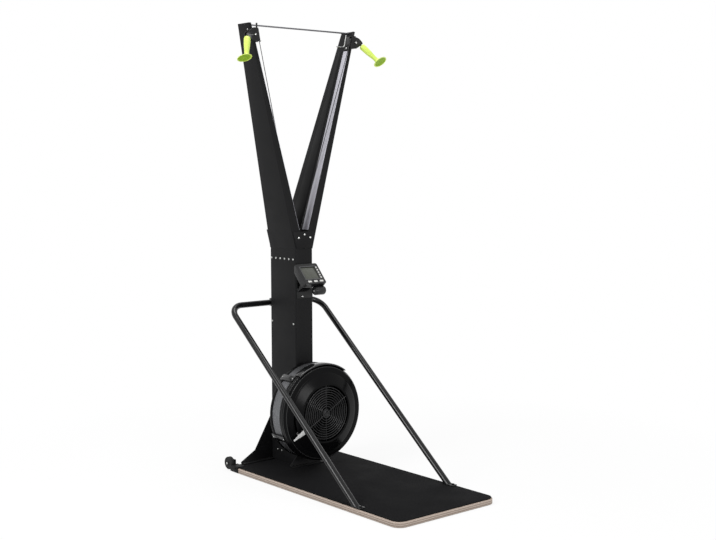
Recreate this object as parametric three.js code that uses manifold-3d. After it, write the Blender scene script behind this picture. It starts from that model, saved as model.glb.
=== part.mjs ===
// Ski trainer machine: a Y shaped sheet steel mast on a plywood platform, a fan wheel in its housing,
// two drive cords with handles, two bent tube stays, a tilting monitor and two transport wheels.
// Millimetres. +X is the user's right, +Y runs from the user to the mast, +Z is up.
// The origin is on the floor under the middle of the platform.
import * as THREE from "three";
import { mergeVertices } from "three/addons/utils/BufferGeometryUtils.js";
import Module from "manifold-3d";

const wasm = await Module();
wasm.setup();

// Fits and cuts
const gap = 0.3;
const overrun = 4;
const mergeTolerance = 1e-4;
const runningGap = 0.6;

// Steps round a full turn, by the size of the piece
const wideSteps = 48;
const middleSteps = 20;
const smallSteps = 10;
const cornerSteps = 2;

// Platform
const deckWidth = 606;
const deckLength = 1266;
const deckThickness = 26;
const deckFrontRadius = 50;
const deckRearRadius = 4;
const deckEdgeBevel = 2.5;
const deckSteps = 4;
const matThickness = 4;
const matInset = 5;

// Column
const columnWidth = 108;
const columnDepth = 218;
const columnWall = 3;
const columnBend = 10;
const columnRearInset = 6;
const seamHeight = 1127;

// Foot plates welded to the column
const footPlate = 5;
const rearFootBelowAxle = 58;
const rearFootKneeHalfWidth = 158;
const rearFootKneeHeight = 88;
const rearFootInset = 59;
const rearFootToe = 8;
const rearFlangeDepth = 32;
const frontFootHalfWidth = 100;
const frontFootHeight = 56;
const frontFlangeDepth = 26;
const footBoltRadius = 4.5;
const footBoltHeight = 10;
const rearFootInnerBolt = 76;
const rearFootOuterBoltInset = 34;
const frontFootBoltSpread = 79;

// Splice inside the seam, which also carries the guide rollers
const spliceLength = 90;
const spliceWall = 4;
const spliceEarHalfWidth = 34;
const spliceEarRise = 62;

// Arms of the Y
const mastHeight = 2220;
const armTopSpread = 329;
const armTopWidth = 15;
const armTopDepth = 95;
const armTopForward = 9.5;
const armWall = 2.5;
const armBend = 4;
const armPassHalfWidth = 40;
const armPassRise = 78;
const armLoopSteps = 2;

// Folded cover on the inner face of each arm
const armCoverRise = 1.2;
const armCoverBehindStrip = 19;
const armCoverLowMargin = 43;
const armCoverHighMargin = 27;

// Plates that tie the arms together at the crotch
const tiePlate = 3;
const frontTieRise = 88;
const rearTieRise = 92;
const tieInset = 5;

// Bright strips along the front edge of the arms' inner faces
const stripThickness = 1.2;
const stripBottomWidth = 49;
const stripTopWidth = 37;
const stripAboveSeam = 95;
const stripBelowTop = 98;
const stripEdge = 3;

// Spreader rod between the tops of the arms
const rodRadius = 4;
const rodBelowTop = 7;
const rodBehindFront = 33;

// Top pulleys, each with its axis from front to back, and their brackets
const pulleyInboard = 19;
const pulleyBelowTop = 57;
const pulleyPitchRadius = 26;
const pulleyRimRadius = 29;
const pulleyWidth = 17;
const cheekThickness = 3;
const cheekReach = 48;
const bridgeFrom = -19;
const bridgeWidth = 21;
const flangeThickness = 2.5;
const flangeDepth = 38;
const flangeRise = 33;
const flangeDrop = 33;
const pegRadius = 2.5;
const pegLength = 56;
const pegDrop = 20;

// Outline of the cheeks: shares of their reach, outward and up from the pulley's axle
const cheekShares = [
  [-0.66, -0.69], [0.1, -0.62], [0.42, -0.45], [0.6, -0.33], [0.9, -0.12], [1, -0.04], [0.93, 0.12],
  [0.75, 0.27], [0.5, 0.45], [0.19, 0.56], [-0.42, 0.61],
];
const axleRadius = 5;
const axleHeadRadius = 8;
const axleHeadHeight = 5;
const postRadius = 4.5;
const postInboard = 12;
const postHeight = 22;

// Drive cords and their drums
const cordRadius = 1.8;
const cordSides = 6;
const cordAnglesDeg = [0, 25, 50, 75, 100, 125, 150];
const drumRadius = 30;
const drumRimRadius = 38;
const drumWidth = 24;
const drumSpacing = 28;
const drumsBehindFront = 57;
const drumFlange = 3;
const guideRollerRadius = 14;
const guideRollerWidth = 16;
const guidePinRadius = 4;
const guideRise = 43;
const cordHalfSpacing = 3.5;

// Handles
const handleHitchDrop = 5;
const stopRadius = 7;
const stopHalfBand = 2.3;
const stopShoulder = 5.6;
const stopCrownRadius = 3.5;
const linkRadius = 4;
const gripStart = 14;
const gripLength = 106;
const gripRadius = 16;
const flareRadius = 36;
const flareLength = 19;
const flareTiltDeg = 18;
const flareOffset = 10;
const flareRoot = 5;
const leftHandleLean = [-0.342, -0.426, -0.836];
const rightHandleLean = [0.435, -0.595, -0.676];

// Outlines of the grip and its flare: shares of the radius, and of the length from the hitch end
const gripShares = [
  [0.78, 0], [0.94, 0.03], [1, 0.1], [1, 0.24], [0.95, 0.45], [0.8, 0.68], [0.69, 0.85], [0.66, 1],
];
const flareShares = [[0.3, 0], [0.37, 0.25], [0.52, 0.5], [0.76, 0.75], [0.97, 0.9], [1, 1], [0.95, 1.1]];

// Fan unit
const fanAboveBoard = 55;
const fanWall = 3;
const fanBossRadius = 62;
const fanBossDepth = 17.5;
const rearShellDepth = 24;
const meshBandWidth = 61;
const meshBandLap = 4;
const coverDepth = 70;
const coverShoulder = 12;
const coverShoulderInset = 13;
const coverStepSlope = 2;
const coverStepInset = 40;
const coverStepDepth = 4;
const coverConeTopRadius = 150;
const coverConeRise = 20;
const grilleRadius = 140;
const grilleHubRadius = 24;
const grilleRingCount = 12;
const grilleRingSteps = 24;
const grilleInnerRingSteps = 12;
const grilleCoarseRadius = 70;
const grilleRingWidth = 3.6;
const grilleDepth = 5;
const grilleRibWidth = 4;
const grilleRibsDeg = [30, 210];
const grilleSunkRibsDeg = [120, 300];
const grilleRibSinking = 2.4;
const clipWidth = 34;
const clipThickness = 6;
const clipAnglesDeg = [49, 131, -27, 207];
const guardArcDeg = 36;
const guardRise = 7;
const guardSteps = 16;

// Damper behind the grille
const damperRadius = 146;
const damperHoleRadius = 26;
const damperThickness = 3;
const damperSetBack = 31;
const damperSeat = 6;
const damperWindowCount = 6;
const damperWindowOuter = 134;
const damperWindowInner = 42;
const damperWindowStartDeg = 15;
const damperWindowSteps = 3;
const damperLeverDeg = 208;
const damperArmWidth = 14;
const damperArmOverlap = 9;
const damperPinRadius = 4;
const damperPinInset = 13;
const damperTabInner = 158;
const damperTabInset = 9;
const damperTabInnerWidth = 24;
const damperTabOuterWidth = 6;
const damperTabAhead = 1.5;
const damperTravelDeg = 40;
const damperSlotEndDeg = 3;

// Fan wheel
const wheelRadius = 221;
const wheelToRim = 18;
const wheelDisc = 4;
const wheelHubRadius = 34;
const wheelHubLength = 40;
const bladeCount = 20;
const bladeThickness = 2.5;
const bladeInnerRadius = 108;
const bladeDepth = 46;
const bladeRingWidth = 14;

// Main axle and bearings
const mainAxleRadius = 8.5;
const bearingRadius = 20;
const bearingWidth = 12;

// Return cords
const returnCordRadius = 3.5;
const anchorBelowSeam = 117;
const anchorThickness = 4;
const anchorDepth = 66;
const anchorSlotRadius = 10;

// Stays
const stayRadius = 15;
const stayBendRadius = 75;
const staySides = 14;
const stayBendSteps = 6;
const staySpread = 286;
const stayBarHeight = 839;
const stayBarBehindColumn = 31;
const stayFootFromFront = 301;
const stayFootPlate = 4;
const stayFootWidth = 34;
const stayFootToe = 46;
const stayFootHeel = 20;
const stayFootCorner = 8;
const stayFootHeelCorner = 4;
const stayBoltRadius = 5.5;
const stayBoltHeight = 8.8;
const stayBoltFromToe = 14;
const clampHalfWidth = 24;
const clampHeight = 40;
const clampWall = 5;

// Monitor
const monitorWidth = 136;
const monitorHeight = 126;
const monitorDepth = 32;
const monitorRadius = 9;
const monitorChamferDepth = 25;
const monitorChamferHeight = 31;
const monitorBelowSeam = 167;
const monitorBottomForward = 94;
const monitorTiltDeg = 42.3;
const screenWidth = 89;
const screenHeight = 75;
const screenUp = 5.5;
const screenLeft = 1.5;
const screenRecess = 3;
const screenThickness = 2;
const keyTravel = 1.2;
const keyProud = 2;
const keyDepth = 5;
const bottomKeyWidth = 21;
const bottomKeyHeight = 10;
const bottomKeyPitch = 36;
const bottomKeyUp = 15;
const bottomKeyRight = 7;
const sideKeyWidth = 7;
const sideKeyHeight = 10;
const sideKeyPitch = 15.5;
const sideKeyIn = 16;
const sideKeyTop = 27;
const podRadius = 22;
const podLength = 63;
const podInset = 5;
const podBehind = 5.2;
const podDown = 16.6;
const podBevel = 6;
const podBevelStep = 2;
const lugWidth = 64;
const lugRadius = 13;
const lugBehind = 18;
const lugUp = 30;
const bracketPlate = 3;
const bracketHalfWidth = 46;
const bracketBaseRise = 37;
const bracketBaseDrop = 68;
const bracketCheekDrop = 38;
const bracketPinRadius = 4;

// Transport wheels
const casterRadius = 32;
const casterWidth = 25;
const casterHeight = 36;
const casterBehindDeck = 33;
const casterBore = 5.4;
const casterPinRadius = 5;
const casterHubRadius = 13;
const casterShoulder = 4;
const casterSideRelief = 1.2;
const casterClearance = 1;
const casterHeadRadius = 8.5;
const wheelLugThickness = 4;
const cornerPlate = 3;
const cornerLength = 62;
const cornerWidth = 40;
const cornerFloorGap = 4;
const lugPlateHalf = 20;

const deg = Math.PI / 180;

// Faces and lines that several pieces share
const deckHalfWidth = deckWidth / 2;
const deckHalfLength = deckLength / 2;
const matTop = deckThickness + gap + matThickness;
const floorOfColumn = matTop + gap;
const columnRear = deckHalfLength - columnRearInset;
const columnFront = columnRear - columnDepth;
const armBase = seamHeight + gap;
const armTopFront = columnFront - armTopForward;
const stripBottomHeight = seamHeight + stripAboveSeam;
const stripTopHeight = mastHeight - stripBelowTop;
const rodHeight = mastHeight - rodBelowTop;
const pulleySpread = armTopSpread - pulleyInboard;
const pulleyHeight = mastHeight - pulleyBelowTop;
const returnCordTop = seamHeight - anchorBelowSeam;
const monitorBottomHeight = seamHeight - monitorBelowSeam;
const cheekRear = armFaces(pulleyHeight + flangeRise).front - gap;
const pulleyY = cheekRear - cheekThickness - runningGap - pulleyWidth / 2;
const cheekFront = pulleyY - pulleyWidth / 2 - runningGap - cheekThickness;
const hitchHeight = pulleyHeight - handleHitchDrop;
const fanRimRadius = wheelRadius + wheelToRim;
const fanHeight = deckThickness + fanAboveBoard + fanRimRadius;
const coverShoulderRadius = fanRimRadius - coverShoulderInset;
const coverStepRadius = fanRimRadius - coverStepInset;
const damperPinReach = coverStepRadius - damperPinInset;
const damperTabOuter = fanRimRadius - damperTabInset;
const rearFootTopHeight = fanHeight - rearFootBelowAxle;
const rearFootHalfWidth = deckWidth / 2 - rearFootInset;
const rearFootBoltSpreads = [rearFootInnerBolt, rearFootHalfWidth - rearFootOuterBoltInset];
const fanBack = columnFront - gap - fanBossDepth;
const bandBack = fanBack - rearShellDepth - gap;
const bandFront = bandBack - meshBandWidth;
const coverBack = bandFront - gap;
const coverFront = coverBack - coverDepth;
const damperBack = coverFront + damperSetBack;
const stayBarY = columnRear + stayBarBehindColumn;
const handleHitchOut = pulleyRimRadius + stopRadius + gap;
const guideY = columnFront + drumsBehindFront;
const drumY = { left: guideY - drumSpacing / 2, right: guideY + drumSpacing / 2 };
const guideWrap = guideRollerRadius + cordRadius + gap;
const guideX = cordHalfSpacing + guideWrap;

// Finishes
const finish = (color, roughness, metalness) => () =>
  new THREE.MeshStandardMaterial({ color, roughness, metalness });
const blackSteel = finish(0x222223, 0.55, 0.3);
const plywood = finish(0xb9a594, 0.7, 0);
const rubberMat = finish(0x242426, 0.95, 0);
const brightStrip = finish(0x9a999f, 0.35, 0.8);
const zincSteel = finish(0xa9a9a6, 0.4, 0.9);
const blackPlastic = finish(0x18181a, 0.4, 0);
const greyMesh = finish(0x626262, 0.5, 0.6);
const blackAlloy = finish(0x1e1e1f, 0.5, 0.3);
const blackCord = finish(0x1b1b1c, 0.9, 0);
const greenGrip = finish(0xc9e25a, 0.55, 0);
const paleKey = finish(0xd8d8d4, 0.5, 0);
const screenGlass = finish(0x64665c, 0.15, 0);
const blackRubber = finish(0x1a1a1b, 0.85, 0);

// Helpers

// A closed manifold-3d solid from a three.js geometry.
function solid(geometry) {
  const bare = geometry.clone();
  bare.deleteAttribute("normal");
  bare.deleteAttribute("uv");
  const merged = mergeVertices(bare, mergeTolerance);
  return new wasm.Manifold(
    new wasm.Mesh({
      numProp: 3,
      vertProperties: new Float32Array(merged.attributes.position.array),
      triVerts: new Uint32Array(merged.index.array),
    }),
  );
}

// A three.js geometry from a manifold-3d solid.
function geometryOf(body) {
  const mesh = body.getMesh();
  const geometry = new THREE.BufferGeometry();
  geometry.setAttribute("position", new THREE.BufferAttribute(mesh.vertProperties, mesh.numProp));
  geometry.setIndex(new THREE.BufferAttribute(mesh.triVerts, 1));
  geometry.computeVertexNormals();
  return geometry;
}

function join(...bodies) {
  return bodies.reduce((sum, body) => sum.add(body));
}

function cut(body, ...tools) {
  return tools.reduce((rest, tool) => rest.subtract(tool), body);
}

// A box between two corners.
function box(low, high) {
  const size = high.map((value, axis) => value - low[axis]);
  const middle = high.map((value, axis) => (value + low[axis]) / 2);
  return solid(new THREE.BoxGeometry(...size).translate(...middle));
}

// A plate whose outline is drawn in X and Z, from y = back towards the user.
function upright(shape, back, thickness, steps = smallSteps) {
  const geometry = new THREE.ExtrudeGeometry(shape, {
    depth: thickness,
    bevelEnabled: false,
    curveSegments: steps,
  });
  return solid(geometry.rotateX(90 * deg).translate(0, back, 0));
}

// A plate whose outline is drawn in X and Y, from z = low upwards.
function flat(shape, low, thickness, steps = smallSteps) {
  const geometry = new THREE.ExtrudeGeometry(shape, {
    depth: thickness,
    bevelEnabled: false,
    curveSegments: steps,
  });
  return solid(geometry.translate(0, 0, low));
}

function outline(points) {
  return new THREE.Shape(points.map(([a, b]) => new THREE.Vector2(a, b)));
}

// A body turned about a line through (x, z) that runs from front to back; the profile lists [radius, y].
function turnedY(profile, x, z, steps) {
  const points = profile.map(([radius, y]) => new THREE.Vector2(radius, y));
  return solid(new THREE.LatheGeometry(points, steps).translate(x, 0, z));
}

// A ring or disc whose axis runs from front to back.
function ringY(inner, outer, front, back, x, z, steps) {
  const profile = inner > 0
    ? [[inner, front], [outer, front], [outer, back], [inner, back], [inner, front]]
    : [[0, front], [outer, front], [outer, back], [0, back]];
  return turnedY(profile, x, z, steps);
}

// A round bar along X.
function barX(radius, from, to, y, z, steps) {
  const geometry = new THREE.CylinderGeometry(radius, radius, to - from, steps);
  return solid(geometry.rotateZ(90 * deg).translate((from + to) / 2, y, z));
}

// A round bar along Z.
function barZ(radius, x, y, from, to, steps) {
  const geometry = new THREE.CylinderGeometry(radius, radius, to - from, steps);
  return solid(geometry.rotateX(90 * deg).translate(x, y, (from + to) / 2));
}

// A path that passes through its stations, one step of a tube for each stretch between them.
class StationPath extends THREE.Curve {
  constructor(stations) {
    super();
    this.stations = stations;
  }

  getPoint(t) {
    const place = t * (this.stations.length - 1);
    const index = Math.min(Math.floor(place), this.stations.length - 2);
    return this.stations[index].clone().lerp(this.stations[index + 1], place - index);
  }

  getPointAt(u) {
    return this.getPoint(u);
  }

  getTangentAt(u) {
    const last = this.stations.length - 1;
    const index = Math.round(u * last);
    const before = this.stations[Math.max(index - 1, 0)];
    const after = this.stations[Math.min(index + 1, last)];
    return after.clone().sub(before).normalize();
  }
}

function tube(stations, radius, sides) {
  const corner = (index) => [
    radius * Math.cos((index * 2 * Math.PI) / sides),
    radius * Math.sin((index * 2 * Math.PI) / sides),
  ];
  const section = outline(Array.from({ length: sides }, (_, index) => corner(index)));
  const path = new StationPath(stations);
  return solid(
    new THREE.ExtrudeGeometry(section, { steps: stations.length - 1, extrudePath: path }),
  );
}

// A skin over loops that have the same number of points, closed at both ends.
function loft(loops) {
  const size = loops[0].length;
  const points = loops.flat();
  const faces = [];
  for (let ring = 0; ring + 1 < loops.length; ring++) {
    for (let index = 0; index < size; index++) {
      const next = (index + 1) % size;
      const a = ring * size + index;
      const b = ring * size + next;
      faces.push(a, b, b + size, a, b + size, a + size);
    }
  }
  const last = (loops.length - 1) * size;
  for (let index = 1; index + 1 < size; index++) {
    faces.push(0, index + 1, index);
    faces.push(last, last + index, last + index + 1);
  }
  const geometry = new THREE.BufferGeometry().setFromPoints(points);
  geometry.setIndex(faces);
  return solid(geometry);
}

// A plate whose outline is drawn in Y and Z, between two places along X.
function sideways(shape, from, to, steps = smallSteps) {
  const geometry = new THREE.ExtrudeGeometry(shape, {
    depth: to - from,
    bevelEnabled: false,
    curveSegments: steps,
  });
  const turn = new THREE.Matrix4().makeBasis(
    new THREE.Vector3(0, 1, 0),
    new THREE.Vector3(0, 0, 1),
    new THREE.Vector3(1, 0, 0),
  );
  return solid(geometry.applyMatrix4(turn).translate(from, 0, 0));
}

// A plate with four upright faces that lean: facesAt gives [x0, x1, y0, y1] at a height.
function leaningPlate(low, high, facesAt) {
  const level = (z) => {
    const [x0, x1, y0, y1] = facesAt(z);
    const corners = [[x0, y0], [x1, y0], [x1, y1], [x0, y1]];
    return corners.map(([x, y]) => new THREE.Vector3(x, y, z));
  };
  return loft([level(low), level(high)]);
}

// A level rectangle with round corners, as a loop of points in anticlockwise order.
function levelLoop(x0, x1, y0, y1, z, radius, steps) {
  const corners = [
    [x1 - radius, y0 + radius, -90],
    [x1 - radius, y1 - radius, 0],
    [x0 + radius, y1 - radius, 90],
    [x0 + radius, y0 + radius, 180],
  ];
  return corners.flatMap(([x, y, start]) =>
    Array.from({ length: steps + 1 }, (_, index) => {
      const angle = (start + (90 * index) / steps) * deg;
      return new THREE.Vector3(x + radius * Math.cos(angle), y + radius * Math.sin(angle), z);
    }),
  );
}

function roundedOutline(x0, x1, y0, y1, radii) {
  const [lowRight, highRight, highLeft, lowLeft] = radii;
  const shape = new THREE.Shape();
  shape.moveTo(x0 + lowLeft, y0);
  shape.lineTo(x1 - lowRight, y0);
  shape.absarc(x1 - lowRight, y0 + lowRight, lowRight, -90 * deg, 0, false);
  shape.lineTo(x1, y1 - highRight);
  shape.absarc(x1 - highRight, y1 - highRight, highRight, 0, 90 * deg, false);
  shape.lineTo(x0 + highLeft, y1);
  shape.absarc(x0 + highLeft, y1 - highLeft, highLeft, 90 * deg, 180 * deg, false);
  shape.lineTo(x0, y0 + lowLeft);
  shape.absarc(x0 + lowLeft, y0 + lowLeft, lowLeft, 180 * deg, 270 * deg, false);
  return shape;
}

// The same body on the other side of the machine.
function mirrored(body) {
  const geometry = geometryOf(body).scale(-1, 1, 1);
  const index = geometry.index.array;
  for (let face = 0; face < index.length; face += 3) {
    [index[face + 1], index[face + 2]] = [index[face + 2], index[face + 1]];
  }
  return solid(geometry);
}

function turnedAboutX(body, angle) {
  return solid(geometryOf(body).rotateX(angle));
}

const machine = new THREE.Group();

function place(name, body, makeFinish) {
  const mesh = new THREE.Mesh(geometryOf(body), makeFinish());
  mesh.name = name;
  machine.add(mesh);
}

// A piece of the right side and its mirror image on the left.
function placePair(name, body, makeFinish) {
  place("right_" + name, body, makeFinish);
  place("left_" + name, mirrored(body), makeFinish);
}

// Platform

function deckOutline(inset) {
  const front = deckFrontRadius - inset;
  return roundedOutline(
    inset - deckHalfWidth,
    deckHalfWidth - inset,
    inset - deckHalfLength,
    deckHalfLength - inset,
    [front, deckRearRadius, deckRearRadius, front],
  );
}

function makePlatform() {
  const lower = flat(deckOutline(deckEdgeBevel), 0, deckThickness, deckSteps);
  const full = flat(deckOutline(0), deckEdgeBevel, deckThickness - 2 * deckEdgeBevel, deckSteps);
  place("deck_board", join(lower, full), plywood);
  const matLow = deckThickness + gap;
  place("deck_mat", flat(deckOutline(matInset), matLow, matThickness, deckSteps), rubberMat);
}

// Column and feet

function columnSection(shrink, low, high) {
  const half = columnWidth / 2 - shrink;
  const radius = columnBend - shrink;
  const level = (z) =>
    levelLoop(-half, half, columnFront + shrink, columnRear - shrink, z, radius, 4);
  return loft([level(low), level(high)]);
}

function makeColumn() {
  const outside = columnSection(0, floorOfColumn, seamHeight);
  const inside = columnSection(columnWall, floorOfColumn - overrun, seamHeight + overrun);
  const bearingBore = ringY(
    0, bearingRadius + gap, columnFront - overrun, columnRear + overrun, 0, fanHeight, middleSteps,
  );
  place("lower_column", cut(outside, inside, bearingBore), blackSteel);
}

function makeRearFoot() {
  const halfColumn = columnWidth / 2;
  const toe = floorOfColumn + rearFootToe;
  const plate = outline([
    [-rearFootHalfWidth, floorOfColumn],
    [rearFootHalfWidth, floorOfColumn],
    [rearFootHalfWidth, toe],
    [rearFootKneeHalfWidth, rearFootKneeHeight],
    [halfColumn, rearFootTopHeight],
    [-halfColumn, rearFootTopHeight],
    [-rearFootKneeHalfWidth, rearFootKneeHeight],
    [-rearFootHalfWidth, toe],
  ]);
  const back = columnRear + gap + footPlate;
  const web = upright(plate, back, footPlate);
  const flange = (from, to) =>
    box([from, back - rearFlangeDepth, floorOfColumn], [to, back, floorOfColumn + footPlate]);
  const clear = halfColumn + gap;
  const bolts = [-1, 1].flatMap((side) =>
    rearFootBoltSpreads.map((x) =>
      barZ(
        footBoltRadius, side * x, back - rearFlangeDepth / 2, floorOfColumn,
        floorOfColumn + footBoltHeight, 6,
      ),
    ),
  );
  const body = join(
    web,
    flange(-rearFootHalfWidth, -clear),
    flange(clear, rearFootHalfWidth),
    ...bolts,
  );
  place("rear_foot_plate", body, blackSteel);
}

function makeFrontFoot() {
  const halfColumn = columnWidth / 2;
  const top = floorOfColumn + frontFootHeight;
  const toe = floorOfColumn + rearFootToe;
  const plate = outline([
    [-frontFootHalfWidth, floorOfColumn],
    [frontFootHalfWidth, floorOfColumn],
    [frontFootHalfWidth, toe],
    [halfColumn, top],
    [-halfColumn, top],
    [-frontFootHalfWidth, toe],
  ]);
  const back = columnFront - gap;
  const web = upright(plate, back, footPlate);
  const flange = box(
    [-frontFootHalfWidth, back - frontFlangeDepth, floorOfColumn],
    [frontFootHalfWidth, back, floorOfColumn + footPlate],
  );
  const bolts = [-1, 1].map((side) =>
    barZ(
      footBoltRadius,
      side * frontFootBoltSpread,
      back - (footPlate + frontFlangeDepth) / 2,
      floorOfColumn,
      floorOfColumn + footBoltHeight,
      6,
    ),
  );
  place("front_foot_plate", join(web, flange, ...bolts), blackSteel);
}

// Mast head

// Faces of the right arm at a height: inner and outer x, front and rear y.
function armFaces(z) {
  const share = (z - seamHeight) / (mastHeight - seamHeight);
  const mix = (low, high) => low + (high - low) * share;
  return {
    inner: mix(gap / 2, armTopSpread - armTopWidth),
    outer: mix(columnWidth / 2, armTopSpread),
    front: mix(columnFront, armTopFront),
    rear: mix(columnRear, armTopFront + armTopDepth),
  };
}

function armLoop(z, shrink, radius) {
  const face = armFaces(z);
  return levelLoop(
    face.inner + shrink,
    face.outer - shrink,
    face.front + shrink,
    face.rear - shrink,
    z,
    radius,
    armLoopSteps,
  );
}

// Front edge and width of the bright strip at a height.
function stripFaces(z) {
  const share = (z - stripBottomHeight) / (stripTopHeight - stripBottomHeight);
  return {
    share,
    front: armFaces(z).front + stripEdge,
    width: stripBottomWidth + (stripTopWidth - stripBottomWidth) * share,
  };
}

// The folded cover that stands proud of an arm's inner face, between the strip and the rear edge.
function armCoverFaces(z) {
  const face = armFaces(z);
  const strip = stripFaces(z);
  const margin = armCoverLowMargin + (armCoverHighMargin - armCoverLowMargin) * strip.share;
  return [
    face.inner - armCoverRise,
    face.inner + armWall / 2,
    strip.front + strip.width + armCoverBehindStrip,
    face.rear - margin,
  ];
}

function makeArms() {
  const outside = loft([armLoop(armBase, 0, armBend), armLoop(mastHeight, 0, armBend)]);
  const insideBend = armBend - armWall;
  const inside = loft([
    armLoop(armBase - overrun, armWall, insideBend),
    armLoop(mastHeight - armWall, armWall, insideBend),
  ]);
  const pass = box(
    [-armPassHalfWidth, guideY - 2 * guideRollerWidth, armBase - overrun],
    [armPassHalfWidth, guideY + 2 * guideRollerWidth, armBase + armPassRise],
  );
  const cover = leaningPlate(stripBottomHeight, stripTopHeight, armCoverFaces);
  placePair("arm", join(cut(outside, inside, pass), cover), blackSteel);
}

// A plate across both arms at the front or the back of the crotch.
function tie(rise, faceOf, side) {
  const low = armBase + tieInset;
  const high = seamHeight + rise;
  const reach = (z) => armFaces(z).outer - tieInset;
  const plate = outline([
    [-reach(low), low],
    [reach(low), low],
    [reach(high), high],
    [-reach(high), high],
  ]);
  const face = side < 0 ? Math.min(faceOf(low), faceOf(high)) : Math.max(faceOf(low), faceOf(high));
  const back = side < 0 ? face - gap : face + gap + tiePlate;
  return upright(plate, back, tiePlate);
}

function makeTies() {
  place("front_tie_plate", tie(frontTieRise, (z) => armFaces(z).front, -1), blackSteel);
  place("rear_tie_plate", tie(rearTieRise, (z) => armFaces(z).rear, 1), blackSteel);
}

function makeStrips() {
  const facesAt = (z) => {
    const outer = armFaces(z).inner - gap;
    const strip = stripFaces(z);
    return [outer - stripThickness, outer, strip.front, strip.front + strip.width];
  };
  placePair("guard_strip", leaningPlate(stripBottomHeight, stripTopHeight, facesAt), brightStrip);
}

function makeRod() {
  const end = armFaces(rodHeight - rodRadius).inner - gap;
  const y = armFaces(rodHeight).front + rodBehindFront;
  place("spreader_rod", barX(rodRadius, -end, end, y, rodHeight, smallSteps), zincSteel);
}

// Splice: a sleeve inside both halves of the seam, with ears for the guide roller pins.
const earFront = guideY - guideRollerWidth / 2 - runningGap - spliceWall;
const earRear = guideY + guideRollerWidth / 2 + runningGap;
const guideHeight = seamHeight + guideRise;

function makeSplice() {
  const shrink = columnWall + gap;
  const low = seamHeight - spliceLength;
  const high = seamHeight;
  const outside = columnSection(shrink, low, high);
  const inside = columnSection(shrink + spliceWall, low - overrun, high + overrun);
  const halfInside = columnWidth / 2 - shrink - spliceWall / 2;
  const ear = (front) =>
    join(
      box([-halfInside, front, low], [halfInside, front + spliceWall, seamHeight - gap]),
      box(
        [-spliceEarHalfWidth, front, low],
        [spliceEarHalfWidth, front + spliceWall, seamHeight + spliceEarRise],
      ),
    );
  const pins = [-1, 1].map((side) =>
    ringY(
      0, guidePinRadius, earFront, earRear + spliceWall,
      side * guideX, guideHeight, smallSteps,
    ),
  );
  const body = join(cut(outside, inside), ear(earFront), ear(earRear), ...pins);
  place("splice_sleeve", body, blackSteel);
}

// Pulleys and brackets

function groovedRoller(x, y, z, rim, groove, width, bore, steps) {
  const half = width / 2;
  const lip = width / 6;
  return turnedY(
    [
      [bore, y - half], [rim, y - half], [rim, y - half + lip], [groove, y - lip / 2],
      [groove, y + lip / 2], [rim, y + half - lip], [rim, y + half], [bore, y + half], [bore, y - half],
    ],
    x, z, steps,
  );
}

function makeTopPulley() {
  const groove = pulleyPitchRadius - cordRadius - 3 * gap;
  const bore = axleRadius + gap;
  placePair(
    "top_pulley",
    groovedRoller(
      pulleySpread, pulleyY, pulleyHeight, pulleyRimRadius, groove, pulleyWidth, bore, middleSteps,
    ),
    blackPlastic,
  );
}

// Two cheeks with a beak round the hitch, a flange on the arm's inner face, and a peg on the flange.
function makePulleyBracket() {
  const cheekShape = outline(
    cheekShares.map(([out, up]) => [pulleySpread + out * cheekReach, pulleyHeight + up * cheekReach]),
  );
  const rearCheek = upright(cheekShape, cheekRear, cheekThickness);
  const frontCheek = upright(cheekShape, cheekFront + cheekThickness, cheekThickness);
  const axle = ringY(
    0, axleRadius, cheekFront, cheekRear, pulleySpread, pulleyHeight, smallSteps,
  );
  const head = ringY(
    0, axleHeadRadius, cheekFront - axleHeadHeight, cheekFront, pulleySpread, pulleyHeight, 6,
  );
  const inboard = pulleySpread + bridgeFrom;
  const bridgeBottom = pulleyHeight + pulleyRimRadius + runningGap;
  const bridgeTop = bridgeBottom + cheekThickness;
  const bridge = box([inboard, cheekFront, bridgeBottom], [inboard + bridgeWidth, cheekRear, bridgeTop]);
  const topPost = barZ(
    postRadius,
    pulleySpread - postInboard,
    cheekFront + postRadius,
    bridgeBottom,
    bridgeTop + postHeight,
    smallSteps,
  );
  const lift = (front) =>
    box([inboard, front, pulleyHeight], [inboard + bridgeWidth, front + cheekThickness, bridgeTop]);
  const flange = leaningPlate(pulleyHeight - flangeDrop, pulleyHeight + flangeRise, (z) => {
    const outer = armFaces(z).inner - gap;
    return [outer - flangeThickness, outer, cheekRear - cheekThickness, cheekRear + flangeDepth];
  });
  const pegEnd = armFaces(pulleyHeight - pegDrop).inner - gap - flangeThickness / 2;
  const peg = barX(
    pegRadius, pegEnd - pegLength, pegEnd, cheekRear + flangeDepth - pegRadius, pulleyHeight - pegDrop,
    smallSteps,
  );
  const body = join(
    rearCheek, frontCheek, axle, head, bridge, lift(cheekFront), lift(cheekRear - cheekThickness),
    topPost, flange, peg,
  );
  placePair("pulley_bracket", body, blackSteel);
}

function makeGuideRollers() {
  const rim = guideRollerRadius + 2 * cordRadius;
  const roller = groovedRoller(
    guideX, guideY, guideHeight, rim, guideRollerRadius, guideRollerWidth, guidePinRadius + gap,
    smallSteps + 4,
  );
  placePair("guide_roller", roller, blackPlastic);
}

function makeDrum(name, y) {
  const half = drumWidth / 2;
  const barrel = drumRadius - cordRadius - gap;
  const drum = turnedY(
    [
      [mainAxleRadius + gap, y - half], [drumRimRadius, y - half], [drumRimRadius, y - half + drumFlange],
      [barrel, y - half + drumFlange], [barrel, y + half - drumFlange],
      [drumRimRadius, y + half - drumFlange], [drumRimRadius, y + half],
      [mainAxleRadius + gap, y + half], [mainAxleRadius + gap, y - half],
    ],
    0, fanHeight, middleSteps,
  );
  place(name, drum, blackPlastic);
}

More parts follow.
